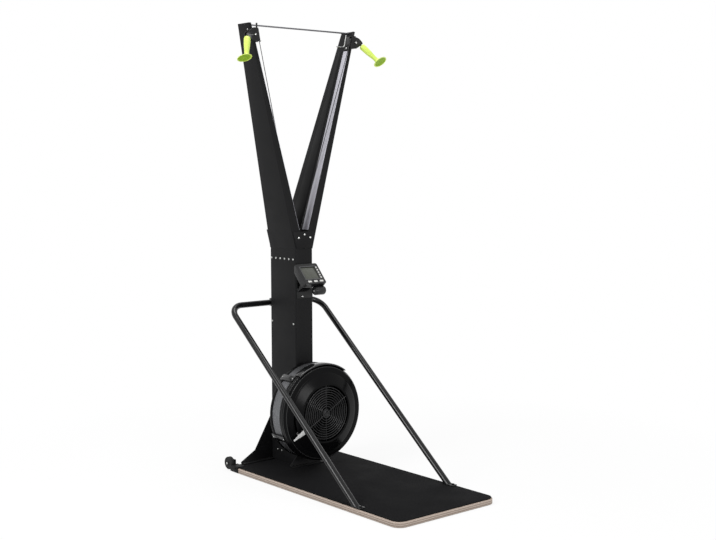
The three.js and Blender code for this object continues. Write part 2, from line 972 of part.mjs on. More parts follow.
// The drive cord of one side, from its drum over the guide roller and the top pulley to the handle's hitch.
function hitchPoint(side) {
  return new THREE.Vector3(
    side * (pulleySpread + handleHitchOut),
    pulleyY,
    hitchHeight,
  );
}

function makeDriveCord(name, side, y) {
  const point = (x, yy, z) => new THREE.Vector3(side * x, yy, z);
  const turn = Math.atan2(
    pulleySpread - pulleyPitchRadius - cordHalfSpacing,
    pulleyHeight - guideHeight,
  );
  const over = (angle) =>
    point(
      pulleySpread - pulleyPitchRadius * Math.cos(angle),
      pulleyY,
      pulleyHeight + pulleyPitchRadius * Math.sin(angle),
    );
  const hitch = hitchPoint(side);
  const stations = [
    new THREE.Vector3(-drumRadius, y, fanHeight),
    point(cordHalfSpacing, guideY, guideHeight),
    point(guideX - guideWrap * Math.cos(turn), guideY, guideHeight + guideWrap * Math.sin(turn)),
    ...cordAnglesDeg.map((angle) => over(angle * deg)),
    hitch.clone().add(new THREE.Vector3(-side * stopRadius, 0, stopRadius / 2)),
  ];
  place(name, tube(stations, cordRadius, cordSides), blackCord);
}

// Handles: a stop with a link on the cord, and a grip with a flared foot below it.

// A body drawn hanging below the origin, turned to point along a direction.
function pointed(body, direction) {
  const down = new THREE.Vector3(0, 0, -1);
  const turn = new THREE.Quaternion().setFromUnitVectors(down, direction);
  return solid(geometryOf(body).applyQuaternion(turn));
}

function moved(body, place) {
  return solid(geometryOf(body).translate(...place.toArray()));
}

// A ring of points round a middle, from two directions at right angles to its axis.
function roundLoop(middle, one, other, radius) {
  return Array.from({ length: middleSteps }, (_, index) => {
    const angle = (index * 360 * deg) / middleSteps;
    return middle
      .clone()
      .addScaledVector(one, radius * Math.cos(angle))
      .addScaledVector(other, radius * Math.sin(angle));
  });
}

// A body turned about Z, whose profile lists [radius, distance below the origin].
function turnedDown(profile, steps) {
  const points = profile.map(([radius, below]) => new THREE.Vector2(radius, -below));
  const body = new THREE.LatheGeometry(points, steps).rotateX(90 * deg);
  return solid(body);
}

function makeHandle(name, side, lean) {
  const along = new THREE.Vector3(...lean).normalize();
  const hitch = hitchPoint(side);
  const reach = gripStart - gap;
  const roundEnd = (radius) => Math.sqrt(reach ** 2 - radius ** 2);
  const stop = turnedDown(
    [
      [0, reach], [linkRadius / 2, roundEnd(linkRadius / 2)], [linkRadius, roundEnd(linkRadius)],
      [linkRadius, stopShoulder], [stopRadius, stopHalfBand], [stopRadius, -stopHalfBand],
      [stopCrownRadius, -stopShoulder], [0, -stopShoulder],
    ],
    smallSteps,
  );
  place(name + "_cord_stop", moved(pointed(stop, along), hitch), zincSteel);
  const gripPoints = gripShares.map(([wide, far]) => [gripRadius * wide, gripStart + gripLength * far]);
  const neck = gripStart + gripLength;
  const [neckShare] = gripShares[gripShares.length - 1];
  const grip = turnedDown([[0, neck], ...gripPoints.reverse(), [0, gripStart]], middleSteps);
  const inward = new THREE.Vector3(-side, 0, 0);
  const across = inward.addScaledVector(along, -inward.dot(along)).normalize();
  const level = across.clone().cross(along).normalize();
  const flareLoop = ([wide, far]) => {
    const tilt = flareTiltDeg * deg * Math.max(far, 0);
    const axis = along.clone().multiplyScalar(Math.cos(tilt)).addScaledVector(across, Math.sin(tilt));
    const reachesOut = level.clone().cross(axis);
    const middle = along
      .clone()
      .multiplyScalar(neck + flareLength * far)
      .addScaledVector(across, -flareOffset * far * far);
    return roundLoop(middle, reachesOut, level, flareRadius * wide);
  };
  const root = [(gripRadius * neckShare - gap) / flareRadius, -flareRoot / flareLength];
  const flare = loft([root, ...flareShares].map(flareLoop));
  place(name + "_handle", moved(join(pointed(grip, along), flare), hitch), greenGrip);
}

// Fan unit

const fanRing = (inner, outer, front, back, steps = wideSteps) =>
  ringY(inner, outer, front, back, 0, fanHeight, steps);

// A body made at the right hand end of the fan's level line, turned about the fan's axis.
function roundFan(body, angleDeg) {
  const geometry = geometryOf(body).rotateY(-angleDeg * deg);
  return solid(geometry.translate(0, 0, fanHeight));
}

function makeRearShell() {
  const front = fanBack - rearShellDepth;
  const shell = turnedY(
    [
      [bearingRadius + gap, fanBack], [bearingRadius + gap, columnFront - gap],
      [fanBossRadius, columnFront - gap], [fanBossRadius, fanBack], [fanRimRadius - fanWall, fanBack],
      [fanRimRadius, fanBack - fanWall], [fanRimRadius, front], [fanRimRadius - fanWall, front],
      [fanRimRadius - fanWall, fanBack - fanWall], [bearingRadius + gap, fanBack - fanWall],
      [bearingRadius + gap, fanBack],
    ].reverse(),
    0, fanHeight, wideSteps,
  );
  const strap = box(
    [fanRimRadius - fanWall / 2, coverBack - coverShoulder, -clipWidth / 2],
    [fanRimRadius + clipThickness, fanBack - fanWall, clipWidth / 2],
  );
  const relief = fanRing(
    fanRimRadius - 2 * fanWall, fanRimRadius + runningGap, coverBack - 2 * coverShoulder, front - gap,
  );
  const straps = clipAnglesDeg.map((angle) => roundFan(strap, angle).subtract(relief));
  place("fan_rear_shell", join(shell, ...straps), blackPlastic);
}

function makeMeshBand() {
  const outer = fanRimRadius - fanWall - gap;
  const band = fanRing(outer - fanWall / 2, outer, bandFront - meshBandLap, bandBack + meshBandLap);
  place("fan_mesh_band", band, greyMesh);
}

function makeTopGuard() {
  const inner = fanRimRadius + runningGap;
  const half = guardArcDeg * deg;
  const front = coverFront + coverConeRise + coverStepDepth;
  const shape = new THREE.Shape();
  shape.absarc(0, fanHeight, inner + guardRise, 90 * deg - half, 90 * deg + half, false);
  shape.absarc(0, fanHeight, inner, 90 * deg + half, 90 * deg - half, true);
  place("fan_top_guard", upright(shape, coverBack, coverBack - front, guardSteps), blackPlastic);
}

function makeFrontCover() {
  const shoulder = coverFront + coverConeRise + coverStepDepth + coverShoulder;
  const stepFront = coverFront + coverConeRise + coverStepDepth;
  const coneFoot = coverFront + coverConeRise;
  const skin = turnedY(
    [
      [fanRimRadius - fanWall, coverBack],
      [fanRimRadius, coverBack],
      [fanRimRadius, shoulder],
      [coverShoulderRadius + fanWall, stepFront],
      [coverStepRadius + fanWall, stepFront - coverStepSlope],
      [coverStepRadius, coneFoot + coverStepSlope],
      [coverStepRadius - fanWall, coneFoot],
      [coverConeTopRadius, coverFront],
      [grilleRadius, coverFront],
      [grilleRadius, coverFront + grilleDepth],
      [coverConeTopRadius, coverFront + grilleDepth],
      [coverStepRadius - fanWall, coneFoot + grilleDepth],
      [coverStepRadius, stepFront + fanWall],
      [coverShoulderRadius, stepFront + fanWall],
      [fanRimRadius - fanWall, shoulder + fanWall],
      [fanRimRadius - fanWall, coverBack],
    ].reverse(),
    0, fanHeight, wideSteps,
  );
  const pitch = (grilleRadius - grilleHubRadius) / (grilleRingCount + 1);
  const back = coverFront + grilleDepth;
  const rings = Array.from({ length: grilleRingCount }, (_, index) => {
    const middle = grilleHubRadius + pitch * (index + 1);
    const steps = middle > grilleCoarseRadius ? grilleRingSteps : grilleInnerRingSteps;
    return fanRing(middle - grilleRingWidth / 2, middle + grilleRingWidth / 2, coverFront, back, steps);
  });
  const ribsAt = (angles, front) => {
    const rib = box(
      [grilleHubRadius / 2, front, -grilleRibWidth / 2],
      [grilleRadius + fanWall, back, grilleRibWidth / 2],
    );
    return angles.map((angle) => roundFan(rib, angle));
  };
  const ribs = [
    ...ribsAt(grilleRibsDeg, coverFront),
    ...ribsAt(grilleSunkRibsDeg, coverFront + grilleRibSinking),
  ];
  const bossRadius = damperHoleRadius - runningGap;
  const damperFront = damperBack - damperThickness;
  const hub = join(
    fanRing(0, grilleHubRadius, coverFront, back, middleSteps),
    fanRing(0, bossRadius, coverFront, damperBack + damperThickness, middleSteps),
    fanRing(0, bossRadius + damperSeat, back, damperFront - gap, middleSteps),
  );
  const slotShape = new THREE.Shape();
  const slotHalf = damperPinRadius + runningGap;
  const from = (damperLeverDeg - damperTravelDeg - damperSlotEndDeg) * deg;
  const to = (damperLeverDeg + damperSlotEndDeg) * deg;
  slotShape.absarc(0, fanHeight, damperPinReach + slotHalf, from, to, false);
  slotShape.absarc(0, fanHeight, damperPinReach - slotHalf, to, from, true);
  const slot = upright(slotShape, coverBack, coverDepth + overrun);
  place("fan_front_cover", cut(join(skin, hub, ...rings, ...ribs), slot), blackPlastic);
}

function makeDamper() {
  const front = damperBack - damperThickness;
  const plate = fanRing(damperHoleRadius, damperRadius, front, damperBack);
  const windowArc = (180 / damperWindowCount) * deg;
  const windowShape = (start) => {
    const shape = new THREE.Shape();
    shape.absarc(0, fanHeight, damperWindowOuter, start, start + windowArc, false);
    shape.absarc(0, fanHeight, damperWindowInner, start + windowArc, start, true);
    return shape;
  };
  const windows = Array.from({ length: damperWindowCount }, (_, index) => {
    const start = (damperLeverDeg + damperWindowStartDeg + (index * 360) / damperWindowCount) * deg;
    const depth = damperThickness + 2 * overrun;
    return upright(windowShape(start), damperBack + overrun, depth, damperWindowSteps);
  });
  const arm = box(
    [damperRadius - damperArmOverlap, front, -damperArmWidth / 2],
    [damperPinReach + damperPinRadius, damperBack, damperArmWidth / 2],
  );
  const tabFront = coverFront - damperTabAhead;
  const pin = ringY(0, damperPinRadius, tabFront, damperBack, damperPinReach, 0, smallSteps);
  const tabShape = outline([
    [damperTabInner, -damperTabInnerWidth / 2],
    [damperTabOuter, -damperTabOuterWidth / 2],
    [damperTabOuter, damperTabOuterWidth / 2],
    [damperTabInner, damperTabInnerWidth / 2],
  ]);
  const tab = upright(tabShape, tabFront + damperThickness, damperThickness);
  const lever = roundFan(join(arm, pin, tab), damperLeverDeg);
  place("damper_disc", join(cut(plate, ...windows), lever), greyMesh);
}

function makeFanWheel() {
  const discBack = fanBack - fanWall - 2 * coverShoulder;
  const discFront = discBack - wheelDisc;
  const bladeFront = discFront - bladeDepth;
  const hub = fanRing(
    mainAxleRadius + gap, wheelHubRadius, discBack - wheelHubLength, discBack, middleSteps,
  );
  const disc = fanRing(wheelHubRadius - wheelDisc, wheelRadius, discFront, discBack);
  const lip = fanRing(wheelRadius - bladeRingWidth, wheelRadius, bladeFront, bladeFront + wheelDisc);
  const blade = box(
    [bladeInnerRadius, bladeFront + gap, -bladeThickness / 2],
    [wheelRadius - gap, discFront + gap, bladeThickness / 2],
  );
  const blades = Array.from({ length: bladeCount }, (_, index) =>
    roundFan(blade, (index * 360) / bladeCount),
  );
  place("fan_wheel", join(hub, disc, lip, ...blades), blackAlloy);
}

function makeAxle() {
  const front = fanBack - fanWall - 2 * coverShoulder - wheelHubLength - wheelDisc;
  const axle = fanRing(0, mainAxleRadius, front, columnRear + bearingWidth / 2, middleSteps);
  place("main_axle", axle, zincSteel);
  const bore = mainAxleRadius + gap;
  const bearing = (front) => fanRing(bore, bearingRadius, front, front + bearingWidth, middleSteps);
  place("front_bearing", bearing(columnFront - bearingWidth / 2), zincSteel);
  place("rear_bearing", bearing(columnRear - columnWall - bearingWidth / 2), zincSteel);
}

// Return cords: each runs from the off side of its drum up to an anchor plate across the column.
function makeReturn() {
  const back = guideY + anchorDepth / 2;
  const front = guideY - anchorDepth / 2;
  const half = columnWidth / 2 - columnWall - gap;
  const plate = box([-half, front, returnCordTop], [half, back, returnCordTop + anchorThickness]);
  const cordX = (-drumRadius * (guideHeight - returnCordTop)) / (guideHeight - fanHeight);
  const opening = barZ(
    anchorSlotRadius, cordX, guideY, returnCordTop - overrun, returnCordTop + anchorThickness + overrun,
    smallSteps,
  );
  const body = cut(plate, opening);
  place("return_anchor", body, blackSteel);
  for (const [name, y] of Object.entries(drumY)) {
    const stations = [
      new THREE.Vector3(drumRadius + returnCordRadius, y, fanHeight),
      new THREE.Vector3(drumRadius + returnCordRadius, y, returnCordTop - gap),
    ];
    place(name + "_return_cord", tube(stations, returnCordRadius, cordSides), blackCord);
  }
}

// Stays

function makeStays() {
  const footY = stayFootFromFront - deckHalfLength;
  const bar = new THREE.Vector3(0, stayBarY, stayBarHeight);
  const foot = new THREE.Vector3(0, footY, matTop);
  const down = foot.clone().sub(bar).normalize();
  const across = new THREE.Vector3(1, 0, 0);
  const centre = bar
    .clone()
    .addScaledVector(across, staySpread - stayBendRadius)
    .addScaledVector(down, stayBendRadius);
  const bend = Array.from({ length: stayBendSteps + 1 }, (_, index) => {
    const angle = (index / stayBendSteps) * 90 * deg;
    return centre
      .clone()
      .addScaledVector(across, stayBendRadius * Math.sin(angle))
      .addScaledVector(down, -stayBendRadius * Math.cos(angle));
  });
  const start = bar.clone().addScaledVector(across, gap);
  const end = foot.clone().addScaledVector(across, staySpread).addScaledVector(down, stayRadius);
  const leg = tube([start, ...bend, end], stayRadius, staySides);
  const plateLow = matTop + gap;
  const below = box(
    [staySpread - 2 * stayRadius, footY - 4 * stayRadius, plateLow - 4 * stayRadius],
    [staySpread + 2 * stayRadius, footY + 4 * stayRadius, plateLow],
  );
  const half = stayFootWidth / 2;
  const plateShape = roundedOutline(
    staySpread - half, staySpread + half, footY - stayFootToe, footY + stayFootHeel,
    [stayFootCorner, stayFootHeelCorner, stayFootHeelCorner, stayFootCorner],
  );
  const plate = flat(plateShape, plateLow, stayFootPlate, cornerSteps);
  const bolt = barZ(
    stayBoltRadius, staySpread, footY - stayFootToe + stayBoltFromToe, plateLow,
    plateLow + stayBoltHeight, 6,
  );
  placePair("stay", join(cut(leg, below), plate, bolt), blackSteel);
}

function makeClamp() {
  const front = columnRear + gap;
  const half = clampHeight / 2;
  const back = stayBarY + stayRadius + clampWall;
  const block = box(
    [-clampHalfWidth, front, stayBarHeight - half],
    [clampHalfWidth, back, stayBarHeight + half],
  );
  const bore = barX(
    stayRadius + gap, -clampHalfWidth - overrun, clampHalfWidth + overrun, stayBarY, stayBarHeight,
    middleSteps,
  );
  place("stay_clamp", cut(block, bore), blackSteel);
}

// Monitor, drawn upright with its face on y = 0 and its middle at the origin, then leaned back.

const monitorLean = -monitorTiltDeg * deg;
const monitorMiddle = new THREE.Vector3(
  0,
  columnFront - monitorBottomForward + (monitorHeight / 2) * Math.sin(monitorTiltDeg * deg),
  monitorBottomHeight + (monitorHeight / 2) * Math.cos(monitorTiltDeg * deg),
);

function leaned(body) {
  const geometry = geometryOf(turnedAboutX(body, monitorLean));
  return solid(geometry.translate(...monitorMiddle.toArray()));
}

const keyTable = [
  ...[-1, 0, 1].map((index) => ({
    name: "bottom_key_" + (index + 2),
    x: bottomKeyRight + index * bottomKeyPitch,
    z: bottomKeyUp - monitorHeight / 2,
    width: bottomKeyWidth,
    height: bottomKeyHeight,
  })),
  ...[0, 1, 2, 3, 4].map((index) => ({
    name: "side_key_" + (index + 1),
    x: monitorWidth / 2 - sideKeyIn,
    z: monitorHeight / 2 - sideKeyTop - index * sideKeyPitch,
    width: sideKeyWidth,
    height: sideKeyHeight,
  })),
];

function keyBlock(key, grow, front, back) {
  const halfWidth = key.width / 2 + grow;
  const halfHeight = key.height / 2 + grow;
  const radius = halfHeight / 2;
  const shape = roundedOutline(
    key.x - halfWidth, key.x + halfWidth, key.z - halfHeight, key.z + halfHeight,
    [radius, radius, radius, radius],
  );
  return upright(shape, back, back - front, 1);
}

function makeMonitor() {
  const halfWidth = monitorWidth / 2;
  const halfHeight = monitorHeight / 2;
  const radii = [monitorRadius, monitorRadius, monitorRadius, monitorRadius];
  const shape = roundedOutline(-halfWidth, halfWidth, -halfHeight, halfHeight, radii);
  const chamfer = loft(
    [-halfWidth - overrun, halfWidth + overrun].map((x) => [
      new THREE.Vector3(x, monitorDepth, halfHeight - monitorChamferHeight),
      new THREE.Vector3(x, monitorDepth + overrun, halfHeight - monitorChamferHeight),
      new THREE.Vector3(x, monitorDepth + overrun, halfHeight + overrun),
      new THREE.Vector3(x, monitorDepth - monitorChamferDepth, halfHeight + overrun),
      new THREE.Vector3(x, monitorDepth - monitorChamferDepth, halfHeight),
    ]),
  );
  const slab = cut(upright(shape, monitorDepth, monitorDepth, cornerSteps), chamfer);
  const screenX = -screenLeft;
  const screenBox = (grow, front, back) =>
    box(
      [screenX - screenWidth / 2 - grow, front, screenUp - screenHeight / 2 - grow],
      [screenX + screenWidth / 2 + grow, back, screenUp + screenHeight / 2 + grow],
    );
  const pocket = screenBox(gap, -overrun, screenRecess + screenThickness + gap);
  const keyHoles = keyTable.map((key) =>
    keyBlock(key, gap, -overrun, keyDepth + keyTravel + gap),
  );
  const lugY = monitorDepth + lugBehind;
  const lugZ = lugUp - halfHeight;
  const lug = join(
    barX(lugRadius, -lugWidth / 2, lugWidth / 2, lugY, lugZ, middleSteps),
    box(
      [-lugWidth / 2, monitorDepth - overrun, lugZ - lugRadius],
      [lugWidth / 2, lugY, lugZ + lugRadius],
    ),
  );
  const pinBore = barX(
    bracketPinRadius + gap, -lugWidth, lugWidth, lugY, lugZ, smallSteps,
  );
  const podZ = -halfHeight - podDown;
  const podY = monitorDepth + podBehind;
  const podBed = barX(podRadius + gap, -halfWidth, halfWidth, podY, podZ, middleSteps);
  place("monitor_case", leaned(cut(join(slab, lug), pocket, pinBore, podBed, ...keyHoles)), blackPlastic);
  const screenFront = screenRecess;
  place("monitor_screen", leaned(screenBox(0, screenFront, screenFront + screenThickness)), screenGlass);
  const podEnd = halfWidth - podInset;
  const podBar = (shrink, cutBack) =>
    barX(podRadius - shrink, podEnd - podLength + cutBack, podEnd - cutBack, podY, podZ, middleSteps);
  const pod = join(podBar(podBevel, 0), podBar(podBevelStep, podBevelStep), podBar(0, podBevel));
  place("battery_pod", leaned(pod), blackPlastic);
  for (const key of keyTable) {
    place("monitor_" + key.name, leaned(keyBlock(key, 0, -keyProud, keyDepth)), paleKey);
  }
}

// The pivot of the monitor, in the machine's own frame.
const pivot = new THREE.Vector3(0, monitorDepth + lugBehind, lugUp - monitorHeight / 2)
  .applyAxisAngle(new THREE.Vector3(1, 0, 0), monitorLean)
  .add(monitorMiddle);

function makeMonitorBracket() {
  const back = columnFront - gap;
  const half = bracketHalfWidth;
  const outer = half + bracketPlate;
  const low = pivot.z - bracketBaseDrop;
  const high = pivot.z + bracketBaseRise;
  const base = box([-outer, back - bracketPlate, low], [outer, back, high]);
  const eye = lugRadius;
  const under = -90 * deg + monitorLean;
  const shape = new THREE.Shape();
  shape.moveTo(back, high);
  shape.absarc(pivot.y, pivot.z, eye, 90 * deg, under, false);
  shape.lineTo(back, pivot.z - bracketCheekDrop);
  const cheek = (from, to) => sideways(shape, from, to);
  const pin = barX(bracketPinRadius, -outer, outer, pivot.y, pivot.z, smallSteps);
  place("monitor_bracket", join(base, cheek(-outer, -half), cheek(half, outer), pin), blackSteel);
}

// Transport wheels

function makeCasters() {
  const axleY = deckHalfLength + casterBehindDeck;
  const outerFace = deckHalfWidth;
  const innerFace = outerFace - casterWidth;
  const tyreShape = [
    [casterBore, innerFace], [casterHubRadius, innerFace], [casterHubRadius, innerFace + casterSideRelief],
    [casterRadius - casterShoulder, innerFace + casterSideRelief],
    [casterRadius, innerFace + casterShoulder], [casterRadius, outerFace - casterShoulder],
    [casterRadius - casterShoulder, outerFace - casterSideRelief],
    [casterHubRadius, outerFace - casterSideRelief], [casterHubRadius, outerFace], [casterBore, outerFace],
    [casterBore, innerFace],
  ].map(([radius, x]) => new THREE.Vector2(radius, x));
  const tyre = new THREE.LatheGeometry(tyreShape, middleSteps).rotateZ(-90 * deg);
  placePair("transport_wheel", solid(tyre.translate(0, axleY, casterHeight)), blackRubber);

  const side = deckHalfWidth + gap;
  const rear = deckHalfLength + gap;
  const front = deckHalfLength - cornerLength;
  const top = matTop + gap;
  const inboard = deckHalfWidth - cornerWidth;
  const lugBack = innerFace - runningGap;
  const lugFront = lugBack - wheelLugThickness;
  const plates = [
    box([side, front, cornerFloorGap], [side + cornerPlate, rear, top + cornerPlate]),
    box([inboard, front, top], [side + cornerPlate, rear + cornerPlate, top + cornerPlate]),
    box([inboard, rear, cornerFloorGap], [side + cornerPlate, rear + cornerPlate, top + cornerPlate]),
    box([lugFront, rear, casterHeight - lugPlateHalf], [lugBack, axleY, casterHeight + lugPlateHalf]),
    barX(lugPlateHalf, lugFront, lugBack, axleY, casterHeight, middleSteps),
    barX(casterPinRadius, lugFront, outerFace + runningGap + cornerPlate, axleY, casterHeight, smallSteps),
    barX(
      casterHeadRadius, outerFace + runningGap, outerFace + runningGap + cornerPlate, axleY,
      casterHeight, 6,
    ),
  ];
  const sideRelief = box(
    [innerFace - runningGap, rear - overrun, cornerFloorGap - overrun],
    [side + cornerPlate + overrun, rear + cornerPlate + overrun, top + cornerPlate + overrun],
  );
  const clearRadius = casterRadius + casterClearance;
  const clearOfWheel = solid(
    new THREE.CylinderGeometry(clearRadius, clearRadius, casterWidth + 2 * casterClearance, middleSteps)
      .rotateZ(90 * deg)
      .translate((innerFace + outerFace) / 2, axleY, casterHeight),
  );
  const plain = join(...plates.slice(0, 3)).subtract(clearOfWheel.intersect(sideRelief));
  placePair("wheel_bracket", join(plain, ...plates.slice(3)), blackSteel);
}

makePlatform();
makeColumn();
makeRearFoot();
makeFrontFoot();
makeSplice();
makeArms();
makeTies();
makeStrips();
makeRod();
makePulleyBracket();
makeTopPulley();
makeGuideRollers();
makeDrum("left_drum", drumY.left);
makeDrum("right_drum", drumY.right);
makeDriveCord("left_drive_cord", -1, drumY.left);
makeDriveCord("right_drive_cord", 1, drumY.right);
makeHandle("left", -1, leftHandleLean);
makeHandle("right", 1, rightHandleLean);
makeRearShell();
makeMeshBand();
makeTopGuard();
makeFrontCover();
makeDamper();
makeFanWheel();
makeAxle();
makeReturn();
makeStays();
makeClamp();
makeMonitor();
makeMonitorBracket();
makeCasters();

export default machine;
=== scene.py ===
"""Looks of a ski trainer machine on its CAD frame: coated steel, housing, grips, cords, board."""
import logging
import math
from collections.abc import Callable, Iterable, Sequence
from dataclasses import dataclass, field
from enum import Enum

import bmesh
import bpy
from mathutils import Matrix, Vector


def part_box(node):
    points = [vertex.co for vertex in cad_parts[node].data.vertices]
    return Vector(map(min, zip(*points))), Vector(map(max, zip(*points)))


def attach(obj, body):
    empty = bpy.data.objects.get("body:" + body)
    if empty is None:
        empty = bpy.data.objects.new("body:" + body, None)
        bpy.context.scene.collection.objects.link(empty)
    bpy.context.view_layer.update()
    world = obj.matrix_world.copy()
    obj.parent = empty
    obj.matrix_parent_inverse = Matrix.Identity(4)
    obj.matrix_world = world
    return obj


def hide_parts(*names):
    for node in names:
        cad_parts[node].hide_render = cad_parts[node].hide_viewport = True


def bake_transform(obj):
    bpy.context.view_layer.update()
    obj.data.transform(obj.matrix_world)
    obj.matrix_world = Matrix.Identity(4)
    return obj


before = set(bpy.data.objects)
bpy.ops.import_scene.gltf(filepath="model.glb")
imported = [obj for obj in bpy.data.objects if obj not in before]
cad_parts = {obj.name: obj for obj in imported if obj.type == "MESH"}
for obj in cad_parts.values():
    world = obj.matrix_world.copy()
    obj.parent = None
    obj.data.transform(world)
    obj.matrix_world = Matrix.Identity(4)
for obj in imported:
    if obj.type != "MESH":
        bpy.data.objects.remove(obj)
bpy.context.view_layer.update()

logging.basicConfig(level=logging.INFO, format="%(message)s")
log = logging.getLogger("ski_trainer")

Point = tuple[float, float, float]
Pair = tuple[float, float]
Faces = tuple[float, float, float, float]
Tree = bpy.types.NodeTree
Node = bpy.types.Node
Source = Node | bpy.types.NodeSocket
Inputs = dict[str | int, object]

MM = 0.001
# Between neighbouring solids, in millimetres
GAP = 0.3
# Corners closer than this are one corner, in millimetres: as made here, and as the CAD has them
WELD = 0.001
WELD_CAD = 0.01
# Neighbouring CAD faces that meet at less than this are one face, in degrees
FLAT_DEG = 1
# A face this near to a plane lies in it, in millimetres
IN_PLANE = 0.5
# An edge runs along an axis where its direction has more than this share of it
ALONG = 0.9
# The part of a noise's range that it mostly keeps to
NOISE_MIDDLE = (0.3, 0.7)
COAT_ROUGHNESS = 0.12
# Edges that shade smoothly, in degrees: on most pieces, and on screw heads
SHARP_DEG = 38
SHARP_SCREW_DEG = 30
TO_FRONT: Point = (0, -1, 0)


class Axis(Enum):
    """The machine's directions, as unit vectors."""

    X = (1.0, 0.0, 0.0)
    Y = (0.0, 1.0, 0.0)
    Z = (0.0, 0.0, 1.0)

    @property
    def vector(self) -> Vector:
        """The direction as a vector."""
        return Vector(self.value)


class Side(Enum):
    """The user's right and left hand side of the machine."""

    RIGHT = 1
    LEFT = -1

    @property
    def word(self) -> str:
        """The side's name in the names of nodes and bodies."""
        return self.name.lower()


def to_linear(hex_colour: str) -> tuple[float, float, float, float]:
    """Turns an sRGB hex colour into linear RGBA.

    Args:
        hex_colour: Six hex digits after a hash.

    Returns:
        The linear colour with alpha 1.
    """
    digits = hex_colour.lstrip("#")
    values = [int(digits[i : i + 2], 16) / 255 for i in (0, 2, 4)]
    linear = [v / 12.92 if v <= 0.04045 else ((v + 0.055) / 1.055) ** 2.4 for v in values]
    return (*linear, 1.0)


def between(low: float, high: float, share: float) -> float:
    """The value at a share of the way from low to high."""
    return low + (high - low) * share


def evenly(start: float, end: float, steps: int) -> list[float]:
    """Values from start to end, both among them, in equal steps."""
    return [start + (end - start) * step / steps for step in range(steps + 1)]


def connect(tree: Tree, node: Node, inputs: Inputs) -> None:
    """Sets or links a node's inputs.

    Args:
        tree: The tree that the node is in.
        node: The node to feed.
        inputs: Input name or index to a value, a socket, or a node whose first output feeds it.
    """
    for name, value in inputs.items():
        if isinstance(value, Node):
            value = value.outputs[0]
        if isinstance(value, bpy.types.NodeSocket):
            tree.links.new(value, node.inputs[name])
        else:
            node.inputs[name].default_value = value


def add_node(
    tree: Tree, kind: str, inputs: Inputs | None = None, stops: dict[float, str] | None = None,
    **settings: object,
) -> Node:
    """Adds one shader node with its settings and links.

    Args:
        tree: The material's or world's node tree.
        kind: The node's type, such as ShaderNodeBump.
        inputs: What connect takes.
        stops: On a colour ramp, each place on it and its sRGB hex colour, in order.
        settings: Properties of the node itself.

    Returns:
        The new node.
    """
    node = tree.nodes.new(kind)
    for name, value in settings.items():
        setattr(node, name, value)
    if stops:
        elements = node.color_ramp.elements
        while len(elements) < len(stops):
            elements.new(0.5)
        for element, (place, colour) in zip(elements, stops.items()):
            element.position, element.color = place, to_linear(colour)
    connect(tree, node, inputs or {})
    return node


def empty_tree(owner: bpy.types.Material | bpy.types.World) -> Tree:
    """Gives a material or world an empty node tree.

    Args:
        owner: The material or world.

    Returns:
        Its node tree.
    """
    owner.use_nodes = True
    owner.node_tree.nodes.clear()
    return owner.node_tree


def add_object(name: str, data: bpy.types.ID) -> bpy.types.Object:
    """Makes an object and links it to the scene.

    Args:
        name: The object's name.
        data: Its mesh, lamp or camera.

    Returns:
        The object.
    """
    made = bpy.data.objects.new(name, data)
    bpy.context.scene.collection.objects.link(made)
    return made


